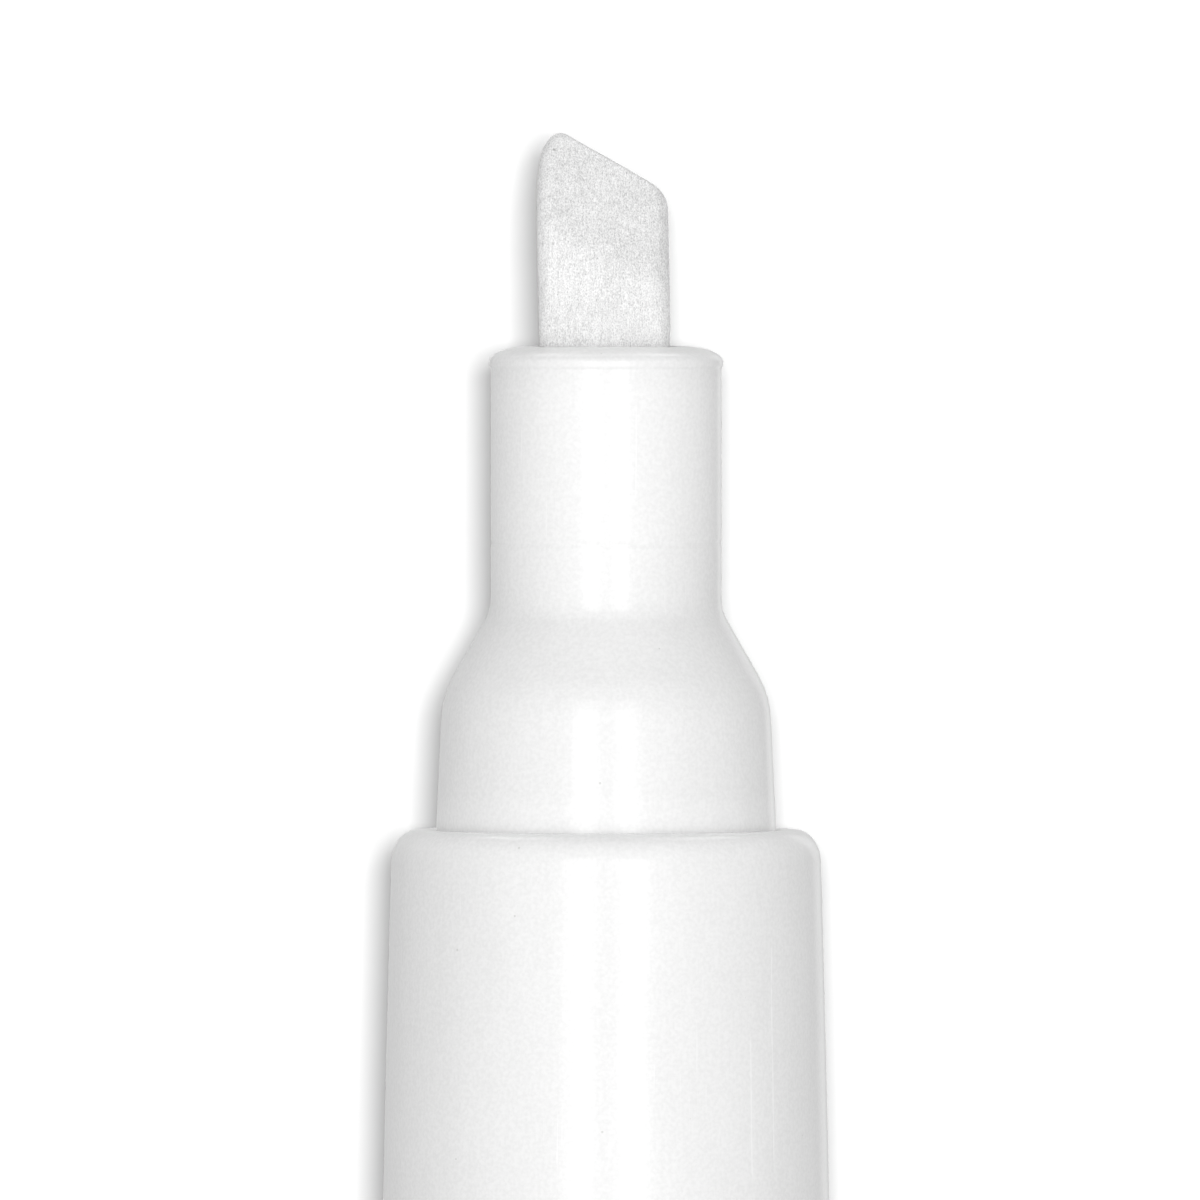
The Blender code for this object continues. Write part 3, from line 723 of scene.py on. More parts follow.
@dataclass(frozen=True)
class BondedFelt(Finish):
    """Bonded fibres that run along the nib, with open pores, and painted shade that darkens the ground
    faces.

    Attributes:
        light: Colour of the fibres.
        dark: Colour between them.
        stray: Colour of a dark speck.
        relief: Height of the fibres' bump.
        ground: Name of the mesh attribute that marks the ground faces.
    """

    light: Triple = (0.985, 0.985, 0.985)
    dark: Triple = (0.56, 0.56, 0.56)
    stray: Triple = (0.42, 0.42, 0.41)
    relief: float = 0.03 * MM
    ground: ClassVar[str] = "ground"
    fibres: ClassVar[NoiseLayer] = NoiseLayer((1.0, 0.8, 0.6), 23000.0, 1.5, 0.6)
    streaks: ClassVar[NoiseLayer] = NoiseLayer((1.0, 0.38, 0.12), 17000.0, 2.0)
    pores: ClassVar[NoiseLayer] = NoiseLayer((1.0, 1.0, 0.6), 12000.0, 1.0)
    clouds: ClassVar[NoiseLayer] = NoiseLayer((1.0, 1.0, 0.5), 1100.0, 3.0, 0.6)
    fibre_range: ClassVar[Span] = (0.34, 0.66)  # noise of the darkest and lightest fibres
    pore_range: ClassVar[Span] = (0.34, 0.24)  # noise where a pore begins and where it is open
    fibre_tone: ClassVar[float] = 0.74
    streak_tone: ClassVar[float] = 0.28
    cloud_tones: ClassVar[Span] = (0.03, 0.22)
    pore_tone: ClassVar[float] = 0.5
    # painted shade: darkening of the ground faces, which tilt up away from the front light
    ground_tone: ClassVar[float] = 0.12
    pore_depth: ClassVar[float] = 0.4
    roughness: ClassVar[Span] = (0.97, 0.82)
    sheen: ClassVar[float] = 0.10
    specks: ClassVar[Values] = {"speck_scale": 1500.0, "speck_radius": 0.07, "rarity": 0.9}

    def dress(self, graph: Graph, shader: bpy.types.Node) -> None:
        """Draw fibres and pores from noise that is stretched along Z.

        Args:
            graph: The material's nodes.
            shader: The shader that they feed.
        """
        fibres, streaks, clouds = (layer.value(graph) for layer in (self.fibres, self.streaks, self.clouds))
        pores = graph.stretched(self.pores.value(graph), *self.pore_range)
        ground = graph.node("ShaderNodeAttribute", attribute_name=self.ground).outputs["Fac"]
        tone = graph.maths("ADD", graph.stretched(fibres, *self.fibre_range, 0.0, self.fibre_tone),
                           graph.stretched(streaks, *self.fibre_range, 0.0, self.streak_tone),
                           graph.stretched(clouds, *NOISE_RANGE, *self.cloud_tones))
        # less the open pores, and less the painted shade on the ground faces
        tone = graph.maths("SUBTRACT", tone, graph.maths("MULTIPLY", pores, self.pore_tone),
                           graph.maths("MULTIPLY", ground, self.ground_tone))
        colour = graph.mixed(graph.stretched(tone, 0.0, 1.0), (*self.dark, 1.0), (*self.light, 1.0))
        speck = DustSpecks.place(graph, **self.specks)["speck"]
        colour = graph.mixed(speck, colour, (*self.stray, 1.0))
        height = graph.maths("SUBTRACT", fibres, graph.maths("MULTIPLY", pores, self.pore_depth))
        roughness = graph.stretched(fibres, *NOISE_RANGE, *self.roughness)
        self.feed(graph, shader, colour, roughness, height, self.relief)
        shader.inputs["Sheen Weight"].default_value = self.sheen


@dataclass(frozen=True)
class SealRubber(Finish):
    """Dark moulded rubber with a dusty bloom.

    Attributes:
        fresh: Colour of the clean rubber.
        bloom: Colour where it has a bloom.
        gloss: Roughness of the clean rubber.
        dull: Roughness of the bloom.
        relief: Height of the grain.
    """

    fresh: Triple = (0.030, 0.030, 0.031)
    bloom: Triple = (0.085, 0.084, 0.082)
    gloss: float = 0.5
    dull: float = 0.8
    relief: float = 0.01 * MM
    grain: ClassVar[Values] = {"grain_scale": 14000.0, "drag_scale": 5000.0, "mottle_scale": 900.0}
    bloom_range: ClassVar[Span] = (0.35, 0.7)

    def dress(self, graph: Graph, shader: bpy.types.Node) -> None:
        """Mix the bloom in by the slow mottling and roughen it.

        Args:
            graph: The material's nodes.
            shader: The shader that they feed.
        """
        grain = MouldedGrain.place(graph, **self.grain)
        share = graph.stretched(grain["mottle"], *self.bloom_range)
        colour = graph.mixed(share, (*self.fresh, 1.0), (*self.bloom, 1.0))
        roughness = graph.stretched(share, 0.0, 1.0, self.gloss, self.dull)
        self.feed(graph, shader, colour, roughness, grain["height"], self.relief)


@dataclass(frozen=True)
class Steel(Finish):
    """Bare steel with fine lines, slow tarnish and specks.

    Attributes:
        bright: Colour of the clean steel.
        tarnish: Colour of tarnish and specks.
        gloss: Roughness between the lines.
        dull: Roughness on them.
        relief: Height of the lines.
    """

    bright: Triple = (0.66, 0.66, 0.67)
    tarnish: Triple = (0.50, 0.49, 0.47)
    gloss: float = 0.16
    dull: float = 0.34
    relief: float = 0.002 * MM
    grain: ClassVar[Values] = {"grain_scale": 16000.0, "drag_scale": 12000.0, "mottle_scale": 700.0}
    specks: ClassVar[Values] = {"speck_scale": 2500.0, "speck_radius": 0.12, "rarity": 0.9}
    speck_share: ClassVar[float] = 0.5
    tarnish_range: ClassVar[Span] = (0.4, 0.75)

    def dress(self, graph: Graph, shader: bpy.types.Node) -> None:
        """Let the tarnish follow the slow mottling, and the gloss the fine lines.

        Args:
            graph: The material's nodes.
            shader: The shader that they feed.
        """
        grain = MouldedGrain.place(graph, **self.grain)
        speck = graph.maths("MULTIPLY", DustSpecks.place(graph, **self.specks)["speck"], self.speck_share)
        colour = (*self.bright, 1.0)
        for share in (graph.stretched(grain["mottle"], *self.tarnish_range), speck):
            colour = graph.mixed(share, colour, (*self.tarnish, 1.0))
        roughness = graph.stretched(grain["height"], *NOISE_RANGE, self.gloss, self.dull)
        self.feed(graph, shader, colour, roughness, grain["height"], self.relief)
        shader.inputs["Metallic"].default_value = 1.0


WHITE_PLASTIC = MouldedPlastic("satin white plastic", Slot.WHITE_PLASTIC)
# Painted light on the holder above the shoulder, on the rim's top and on the collar's foot; painted shade in
# a band round the rim's roll.
SECTION_PLASTIC = MouldedPlastic("white plastic with painted light bands", Slot.WHITE_PLASTIC, wall_tones=(
    PaintedLightBand(141.4 * MM, 145.0 * MM, 0.04), PaintedLightBand(149.7 * MM, 150.6 * MM, -0.03),
    PaintedLightBand(151.02 * MM, 151.30 * MM, 0.03), PaintedLightBand(134.4 * MM, 133.2 * MM, 0.07)))
MILKY_PLASTIC = MouldedPlastic("milky soft plastic", Slot.SOFT_PLASTIC, light=(0.80, 0.80, 0.785),
                               dark=(0.73, 0.73, 0.715), gloss=0.46, dull=0.60, clouding=0.25)
# The barrel's band is painted light on its mouth, above 132.3 mm; its scratches are wear.
BARREL_PLASTIC = MouldedPlastic(
    "handled white plastic", Slot.WHITE_PLASTIC, scuff=(0.985, 0.985, 0.985),
    wall_tones=(PaintedLightBand(131.7 * MM, 132.3 * MM, 0.035),), scratches=(
        Scratch(math.radians(-41.0), 119.7 * MM, 129.0 * MM),
        Scratch(math.radians(-49.0), 118.9 * MM, 125.5 * MM),
        Scratch(math.radians(62.0), 74.0 * MM, 96.0 * MM),
        Scratch(math.radians(171.0), 50.0 * MM, 61.0 * MM)))
CAP_PLASTIC = MouldedPlastic("worn white plastic", Slot.WHITE_PLASTIC, scratches=(
    Scratch(math.radians(-70.0), 21.0 * MM, 28.5 * MM), Scratch(math.radians(38.0), 20.0 * MM, 26.0 * MM)))
NIB_FELT = BondedFelt("bonded felt", Slot.FELT)
DARK_RUBBER = SealRubber("seal rubber", Slot.SEAL_RUBBER)
SPRING_WIRE = Steel("drawn spring wire", Slot.SPRING_STEEL, gloss=0.22, dull=0.40)
BALL_STEEL = Steel("polished ball steel", Slot.BALL_STEEL, gloss=0.08, dull=0.18)


def dressed(name: str, grid: np.ndarray, ends: Profile, finish: Finish, body: Body,
            node: str) -> bpy.types.Object:
    """Make a piece of a grid, dress it, and let it stand for a node of the frame.

    Args:
        name: Name of the piece.
        grid: Points of its surface.
        ends: Whether the rows form a ring or end on the axis.
        finish: Its surface finish.
        body: Body that it moves with.
        node: Node that it replaces.

    Returns:
        The piece.
    """
    piece = surface(name, grid, ends is Profile.RING)
    piece.data.materials.append(finish.material())
    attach(piece, body.value)
    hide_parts(node)
    log.info("%s: %d faces, %s, moves with %s", name, len(piece.data.polygons), finish.name, body.value)
    return piece


def redressed(node: str, finish: Finish) -> bpy.types.Object:
    """Give a node of the frame, whose shape is right as it is, a better finish.

    Args:
        node: Name of the node.
        finish: Its surface finish.

    Returns:
        The node's object.
    """
    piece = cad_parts[node]
    piece.data.materials.clear()
    piece.data.materials.append(finish.material())
    log.info("%s: the frame's own solid, %s", node, finish.name)
    return piece


@dataclass
class ScrewThread:
    """Right-handed half-round thread on a cylinder.

    Attributes:
        radius: Radius of the cylinder that carries the thread.
        depth: Half width and height of the thread's round.
        start: Height of the thread's lower end.
        pitch: Rise in one turn.
        turns: Number of turns.
        run_out: Share of a turn over which each end grows to its full depth.
        tolerance: Distance from the cylinder within which a point still lies on it.
    """

    radius: float
    depth: float
    start: float
    pitch: float
    turns: float
    run_out: float = 0.12
    tolerance: float = 0.01 * MM

    def relief(self, angle: np.ndarray, height: np.ndarray, radius: np.ndarray) -> np.ndarray:
        """Radial rise of the thread: sqrt(d^2 - (height - helix height)^2), shrunk towards both ends.

        Args:
            angle: Angles round the axis.
            height: Heights of the points.
            radius: Radii of the points before the relief.

        Returns:
            Rise at each point, nought away from the threaded cylinder.
        """
        on_wall = np.abs(radius - self.radius) < self.tolerance
        rise = np.zeros(np.broadcast_shapes(angle.shape, height.shape))
        for whole_turns in range(math.ceil(self.turns)):
            turn = angle / math.tau + whole_turns
            from_end = np.minimum(turn, self.turns - turn)
            depth = self.depth * smooth_step(from_end / self.run_out)
            off_helix = height - self.start - self.pitch * turn
            rise = np.maximum(rise, np.sqrt(np.clip(depth ** 2 - off_helix ** 2, 0.0, None)))
        return np.where(on_wall, rise, 0.0)


@dataclass
class FeltNib:
    """Chisel nib: slanted writing edge, rounded point and heel, two ground faces and loose fibres.

    Attributes:
        slant: Fall of the writing edge below the level.
        edge_rise: Height of the worn edge's middle above a straight line through its point.
        point_radius: Round of the point, seen from the front.
        heel_radius: Round of the heel, seen from the front.
        corner_radius: Round of the rod's upright edges.
        corner_share: Largest corner radius, as a share of half the thickness.
        edge_thickness: Thickness of the writing edge.
        grind_length: Length of the ground faces, square to the edge.
        ground_mark: Strength of the mark of a ground face at the edge, before it is held at 1.
        ground_fall: Strength that the mark loses over the length of a ground face.
        nose: Depth over which the edge rounds off.
        grind_blend: Softness of the line where a ground face begins.
        lean: Slope by which the free end leans towards its point.
        lean_start: Height above the rim at which the lean has half its slope.
        swelling: Rise of each side of the free end, where the slot no longer holds the felt.
        swell_length: Length over which the sides rise.
        rest: Sideways play of the slot that the nib takes up.
        point_taper: Sideways set-back of the worn point.
        taper_length: Length over which the point's side falls back.
        level_start: Depth from which on the rows level out.
        row_step: Step between the rows of the free end.
        slot_depth: Depth below the rim to which that step is kept.
        edge_rows: Rows of the edge's round.
        foot_rows: Rows in the slot.
        face_points: Points along a wide face.
        side_points: Points along a narrow side.
        corner_points: Points round a corner.
        fibre_height: Height of the fibres' relief.
        fibre_seed: Start of the random draw of the fibres.
        fibre_count: Number of waves that make the fibres.
        fibre_waves: Least and most waves in a millimetre across.
        fibre_drift: Spread of the waves in a millimetre along.
        fibre_strength: Least and most strength of a wave.
    """

    slant: float = math.radians(29.9)
    edge_rise: float = 0.027 * MM
    point_radius: float = 0.81 * MM
    heel_radius: float = 1.15 * MM
    corner_radius: float = 0.68 * MM
    corner_share: float = 0.7
    edge_thickness: float = 1.10 * MM
    grind_length: float = 3.60 * MM
    ground_mark: float = 1.8
    ground_fall: float = 1.2
    nose: float = 0.05 * MM
    grind_blend: float = 0.32 * MM
    lean: float = 0.022
    lean_start: float = 1.0 * MM
    swelling: float = 0.036 * MM
    swell_length: float = 0.8 * MM
    rest: float = 0.05 * MM
    point_taper: float = 0.45 * MM
    taper_length: float = 3.0 * MM
    level_start: float = 6.0 * MM
    row_step: float = 0.06 * MM
    slot_depth: float = 1.0 * MM
    edge_rows: int = 14
    foot_rows: int = 24
    face_points: int = 92
    side_points: int = 40
    corner_points: int = 22
    fibre_height: float = 0.006 * MM
    fibre_seed: int = 7
    fibre_count: int = 90
    fibre_waves: Span = (0.8, 6.0)
    fibre_drift: float = 0.35
    fibre_strength: Span = (0.5, 1.0)
    box: NodeBox = node_box("nib")
    section: NodeBox = node_box("front_section")

    def build(self) -> None:
        """Make the nib and dress it."""
        grid = self.fibrous(self.grid())
        nib = dressed("felt_nib", self.leaning(grid), Profile.SOLID, NIB_FELT, Body.NIB, "nib")
        self.mark_ground(nib.data)

    def mark_ground(self, mesh: bpy.types.Mesh) -> None:
        """Store how much each point belongs to a ground face, for the felt's painted shade: 1 at the edge,
        nought below the grind.

        Args:
            mesh: The nib's mesh.
        """
        places = np.empty(3 * len(mesh.vertices))
        mesh.vertices.foreach_get("co", places)
        x, _, z = places.reshape(-1, 3).T
        below = (self.edge_height(x) - z) * math.cos(self.slant)
        ground = smooth_step(self.ground_mark - self.ground_fall * below / self.grind_length)
        mesh.attributes.new(BondedFelt.ground, "FLOAT", "POINT").data.foreach_set("value", ground)

    def rows(self) -> np.ndarray:
        """Depths of the rows below the writing edge, measured upright: close at the edge, wide in the slot.

        Returns:
            Depths from the edge down.
        """
        nose = self.nose / math.cos(self.slant)
        edge = nose * (1.0 - np.cos(np.linspace(0.0, math.pi / 2.0, self.edge_rows)))
        bottom = self.edge_height(0.0) - self.box.bottom
        free = self.edge_height(0.0) - self.section.top + self.slot_depth
        return np.concatenate((edge, np.arange(nose, free, self.row_step)[1:],
                               np.linspace(free, bottom, self.foot_rows)))

    def edge_height(self, x: float | np.ndarray) -> float | np.ndarray:
        """Height of the slanted writing edge before its ends are rounded: a line with a parabola's rise.

        Args:
            x: Places across the nib.

        Returns:
            Height at each place.
        """
        slope = math.tan(self.slant)
        sharp = self.box.top + self.point_radius * (slope + 1.0 / math.cos(self.slant) - 1.0)
        rise = self.edge_rise * (1.0 - (x / (self.box.radius - self.point_radius)) ** 2)
        return sharp - (x + self.box.radius) * slope + rise

    def row_ends(self, below: np.ndarray) -> tuple[np.ndarray, np.ndarray]:
        """Left and right ends of rows along the edge, on the rounds of the point and heel.

        Args:
            below: Distance of each row below the edge, square to it.

        Returns:
            Left and right x of each row.
        """
        half = self.box.radius
        ends = []
        for side, radius in ((-1.0, self.point_radius), (1.0, self.heel_radius)):
            above_centre = np.clip(radius - below, -radius, radius)
            along = side * np.sqrt(radius ** 2 - above_centre ** 2)
            turned_in = along * math.cos(self.slant) + above_centre * math.sin(self.slant)
            tangent = radius * (1.0 - side * math.sin(self.slant))
            ends.append(np.where(below < tangent, side * (half - radius) + turned_in, side * half))
        return ends[0], ends[1]

    def columns(self) -> np.ndarray:
        """Unit rounded rectangle, from two half turns that mirror each other through the middle.

        Returns:
            Flat share x and y, and outward direction x and y, of each point once round.
        """
        faces = np.linspace(-1.0, 1.0, self.face_points)[:-1]
        sides = np.linspace(-1.0, 1.0, self.side_points)[:-1]
        arc = np.linspace(0.0, math.pi / 2.0, self.corner_points)[:-1]
        flat, upright, one = np.ones_like(faces), np.ones_like(sides), np.ones_like(arc)
        half = np.concatenate((
            np.stack((faces, -flat, 0.0 * flat, -flat)),
            np.stack((one, -one, np.sin(arc), -np.cos(arc))),
            np.stack((upright, sides, upright, 0.0 * sides)),
            np.stack((one, one, np.cos(arc), np.sin(arc))),
        ), axis=1)
        return np.concatenate((half, -half), axis=1)

    def grid(self) -> np.ndarray:
        """Rows along the writing edge that level out towards the foot, each a rounded rectangle.

        A row at depth t has the half thickness b = edge / 2 + spread * t, held under the rod's own, and
        shrinks to a line at the edge as a quarter ellipse. Its point is box share * (a - c, b - c) plus the
        corner radius c times the outward direction, at the height of the slanted line less t.

        Returns:
            Grid of points.
        """
        depth = self.rows()
        below = depth * math.cos(self.slant)
        left, right = self.row_ends(below)
        rod = self.box.half_depth
        spread = (rod - self.edge_thickness / 2.0) / self.grind_length
        wedge = self.edge_thickness / 2.0 + spread * below
        soft = np.sqrt((wedge - rod) ** 2 + self.grind_blend ** 2)
        rounding = np.sqrt(1.0 - np.clip(1.0 - below / self.nose, 0.0, 1.0) ** 2)
        thick = (wedge + rod - soft) / 2.0 * rounding
        corner = np.minimum(self.corner_radius, self.corner_share * thick)
        share_x, share_y, out_x, out_y = self.columns()
        middle, half = (left + right) / 2.0, (right - left) / 2.0
        x = middle[:, None] + (half - corner)[:, None] * share_x + corner[:, None] * out_x
        y = (thick - corner)[:, None] * share_y + corner[:, None] * out_y
        level = smooth_step((depth - self.level_start) / (depth[-1] - self.level_start))[:, None]
        edge = self.edge_height(x) * (1.0 - level) + self.edge_height(0.0) * level
        z = edge - depth[:, None]
        foot = np.stack((0.0 * x[-1:], 0.0 * y[-1:], z[-1:]), axis=-1)
        return np.concatenate((np.stack((x, y, z), axis=-1), foot))

    def fibrous(self, grid: np.ndarray) -> np.ndarray:
        """Raise fibres: a sum of cosine waves of random length across the rod, slow along it.

        Args:
            grid: Smooth grid of points.

        Returns:
            The grid, moved along the section's outward direction.
        """
        draw = np.random.default_rng(self.fibre_seed)
        count = self.fibre_count
        across = draw.uniform(*self.fibre_waves, count) / MM
        turn = draw.uniform(0.0, math.tau, count)
        along = draw.normal(0.0, self.fibre_drift, count) / MM
        waves = np.stack((across * np.cos(turn), across * np.sin(turn), along))
        heights = draw.uniform(*self.fibre_strength, count) / np.sqrt(across * MM)
        phase = draw.uniform(0.0, math.tau, count)
        relief = np.cos(grid @ waves * math.tau + phase) @ heights / np.sqrt(np.sum(heights ** 2))
        _, _, out_x, out_y = self.columns()
        outwards = np.stack((out_x, out_y, 0.0 * out_x), axis=-1)
        thick = np.abs(grid[:, :, 1]).max(axis=1)
        strength = smooth_step(thick / self.edge_thickness)[:, None, None]
        return grid + self.fibre_height * strength * relief[:, :, None] * outwards

    def leaning(self, grid: np.ndarray) -> np.ndarray:
        """Swell and lean the free end above the holder's rim and set the worn point back.

        At the height h above the rim, x grows in its share of the half width by an eased step of the
        swelling, and is moved by - lean h^2 / (h + start).

        Args:
            grid: Upright grid of points.

        Returns:
            The grid, moved along X.
        """
        free = np.clip(grid[:, :, 2] - self.section.top, 0.0, None)
        worn = np.clip(1.0 - (self.box.top - grid[:, :, 2]) / self.taper_length, 0.0, 1.0)
        pointwards = np.clip(-grid[:, :, 0] / self.box.radius, 0.0, 1.0)
        moved = grid.copy()
        swollen = self.swelling * smooth_step(free / self.swell_length)
        moved[:, :, 0] += swollen * grid[:, :, 0] / self.box.radius
        moved[:, :, 0] += self.point_taper * pointwards ** 3 * worn ** 2
        moved[:, :, 0] -= self.lean * free ** 2 / (free + self.lean_start) + self.rest
        return moved


@dataclass
class FrontSection:
    """Nib holder, shoulder, collar and threaded spigot in one moulding, with the seal under its collar.

    Heights are counted from the plane of the barrel's mouth.
    """

    nib_gap: float = 0.20 * MM
    nib_corner: float = 0.78 * MM  # round of the nib that the slot's corners follow
    slot_edge: float = 0.12 * MM
    slot_edge_rows: int = 8
    slot_step: float = 1.0 * MM
    rim_overhang: float = 0.06 * MM
    rim_width: float = 1.60 * MM  # half axes of the rim's roll
    rim_height: float = 0.615 * MM
    rim_start: float = 3.22 * MM  # radius at which the roll begins beside the slot
    rim_lift: float = 0.04 * MM
    rim_band: float = 0.15 * MM  # upright band under the roll
    rim_blend: float = 0.11 * MM
    holder_radius: float = 4.47 * MM
    holder_fillet: float = 1.8 * MM
    ring_height: float = 2.6 * MM  # faint ring round the holder, above the shoulder
    ring_width: float = 0.34 * MM
    ring_depth: float = 0.034 * MM
    ring_edge: float = 0.05 * MM
    shoulder_length: float = 3.3 * MM
    collar_top_radius: float = 6.35 * MM
    collar_length: float = 5.2 * MM
    collar_fillet: float = 3.8 * MM
    foot_depth: float = 1.0 * MM  # part of the collar that stands in the barrel's mouth
    thread_height: float = 0.5 * MM
    thread_inset: float = 0.04 * MM
    thread_pitch: float = 2.4 * MM
    thread_turns: float = 1.5
    spigot_lead: float = 1.4 * MM  # plain length under the thread
    spigot_wall: float = 1.15 * MM
    seal_gap: float = 0.15 * MM
    ceiling: float = 1.5 * MM  # height of the valve chamber's ceiling
    edge: float = 0.12 * MM
    columns: int = 224
    step: float = 0.26 * MM
    box: NodeBox = node_box("front_section")
    nib: NodeBox = node_box("nib")
    barrel: NodeBox = node_box("barrel")
    seal: NodeBox = node_box("section_seal")

    def build(self) -> None:
        """Make the section and its seal and dress them."""
        dressed("front_section_moulding", self.grid(), Profile.RING, SECTION_PLASTIC, Body.SECTION,
                "front_section")
        ring = washer_grid(self.seal, self.spigot + self.seal_gap)
        dressed("section_seal_ring", ring, Profile.RING, DARK_RUBBER, Body.SEAL, "section_seal")

    @property
    def mouth(self) -> float:
        """Height of the barrel's mouth."""
        return self.barrel.top

    @property
    def rim_top(self) -> float:
        """Height of the rolled rim, a little above the solid's."""
        return self.box.top + self.rim_lift

    @property
    def spigot(self) -> float:
        """Radius of the spigot without its thread."""
        return self.box.radius - self.thread_height - self.thread_inset

    def slot(self, angle: np.ndarray) -> np.ndarray:
        """Distance from the axis to the nib slot's wall: a rounded rectangle in polar form.

        Args:
            angle: Angles round the axis.

        Returns:
            The nearer of the two flats, or the corner arc between them.
        """
        round_off = self.nib_corner + self.nib_gap
        half_x, half_y = self.nib.radius + self.nib_gap, self.nib.half_depth + self.nib_gap
        across, along = np.abs(np.cos(angle)), np.abs(np.sin(angle))
        flat = np.minimum(half_x / np.maximum(across, WELD), half_y / np.maximum(along, WELD))
        centre_x, centre_y = half_x - round_off, half_y - round_off
        towards = centre_x * across + centre_y * along
        under_root = towards ** 2 - centre_x ** 2 - centre_y ** 2 + round_off ** 2
        arc = towards + np.sqrt(np.clip(under_root, 0.0, None))
        in_corner = (flat * across > centre_x) & (flat * along > centre_y)
        return np.where(in_corner, arc, flat)

    def dome(self) -> list[Corner]:
        """Quarter ellipse of the rolled rim.

        Returns:
            Corners from beside the slot down to the rim's widest line.
        """
        outer = self.holder_radius + self.rim_overhang
        start = 1.0 - (outer - self.rim_start) / self.rim_width
        return quarter_ellipse(outer, self.rim_top, self.rim_width, self.rim_height, start)

    def outline(self) -> list[Corner]:
        """Turned part of the profile.

        Returns:
            Corners from the rim's top over the outside to the valve chamber's ceiling.
        """
        shoulder = self.mouth + self.collar_length + self.shoulder_length
        ring = shoulder + self.ring_height
        band = self.rim_top - self.rim_height - self.rim_band
        chamber = self.spigot - self.spigot_wall
        holder = self.holder_radius
        return [
            *self.dome(),
            Corner(holder + self.rim_overhang, band, self.rim_blend),
            Corner(holder, band - self.rim_blend, self.rim_blend),
            Corner(holder, ring + self.ring_width / 2.0, self.ring_edge),
            Corner(holder - self.ring_depth, ring, self.ring_edge),
            Corner(holder, ring - self.ring_width / 2.0, self.ring_edge),
            Corner(holder, shoulder, self.holder_fillet),
            Corner(self.collar_top_radius, self.mouth + self.collar_length, self.collar_fillet),
            Corner(self.box.radius, self.mouth),
            Corner(self.box.radius, self.mouth - self.foot_depth, self.edge),
            Corner(self.spigot, self.mouth - self.foot_depth),
            Corner(self.spigot, self.box.bottom, self.edge),
            Corner(chamber, self.box.bottom, self.edge),
            Corner(chamber, self.mouth + self.ceiling),
            Corner(self.rim_start, self.mouth + self.ceiling),
        ]

    def thread(self) -> ScrewThread:
        """The ridge on the spigot."""
        start = self.box.bottom + self.spigot_lead + self.thread_height
        return ScrewThread(self.spigot, self.thread_height, start, self.thread_pitch, self.thread_turns)

    def grid(self) -> np.ndarray:
        """The turned profile with its thread, closed through the slot's wall and its rounded upper edge.

        Returns:
            Grid of points.
        """
        outside = lathed(self.outline(), self.step, self.columns, self.thread().relief)
        angle = full_turn(self.columns)[None, :]
        bend = np.linspace(math.pi / 2.0, 0.0, self.slot_edge_rows)
        wall = np.arange(self.mouth + self.ceiling, self.rim_top - self.slot_edge, self.slot_step)
        heights = np.concatenate((wall, self.rim_top - self.slot_edge * (1.0 - np.cos(bend))))
        offsets = np.concatenate((0.0 * wall, self.slot_edge * (1.0 - np.sin(bend))))
        radius = self.slot(angle) + offsets[:, None]
        height = np.broadcast_to(heights[:, None], radius.shape)
        return np.concatenate((outside, polar(angle, radius, height)))


def washer_grid(box: NodeBox, inner: float, columns: int = 128, step: float = 0.3 * MM,
                edge: float = 0.08 * MM) -> np.ndarray:
    """Flat ring with softened edges, between an inner radius and the box's sides.

    Args:
        box: Resting box of the ring's node.
        inner: Radius of its hole.
        columns: Points round the axis.
        step: Longest step along its profile.
        edge: Round of its edges.

    Returns:
        Grid of points.
    """
    corners = ((inner, box.top), (box.radius, box.top), (box.radius, box.bottom), (inner, box.bottom))
    return lathed([Corner(*corner, edge) for corner in corners], step, columns)


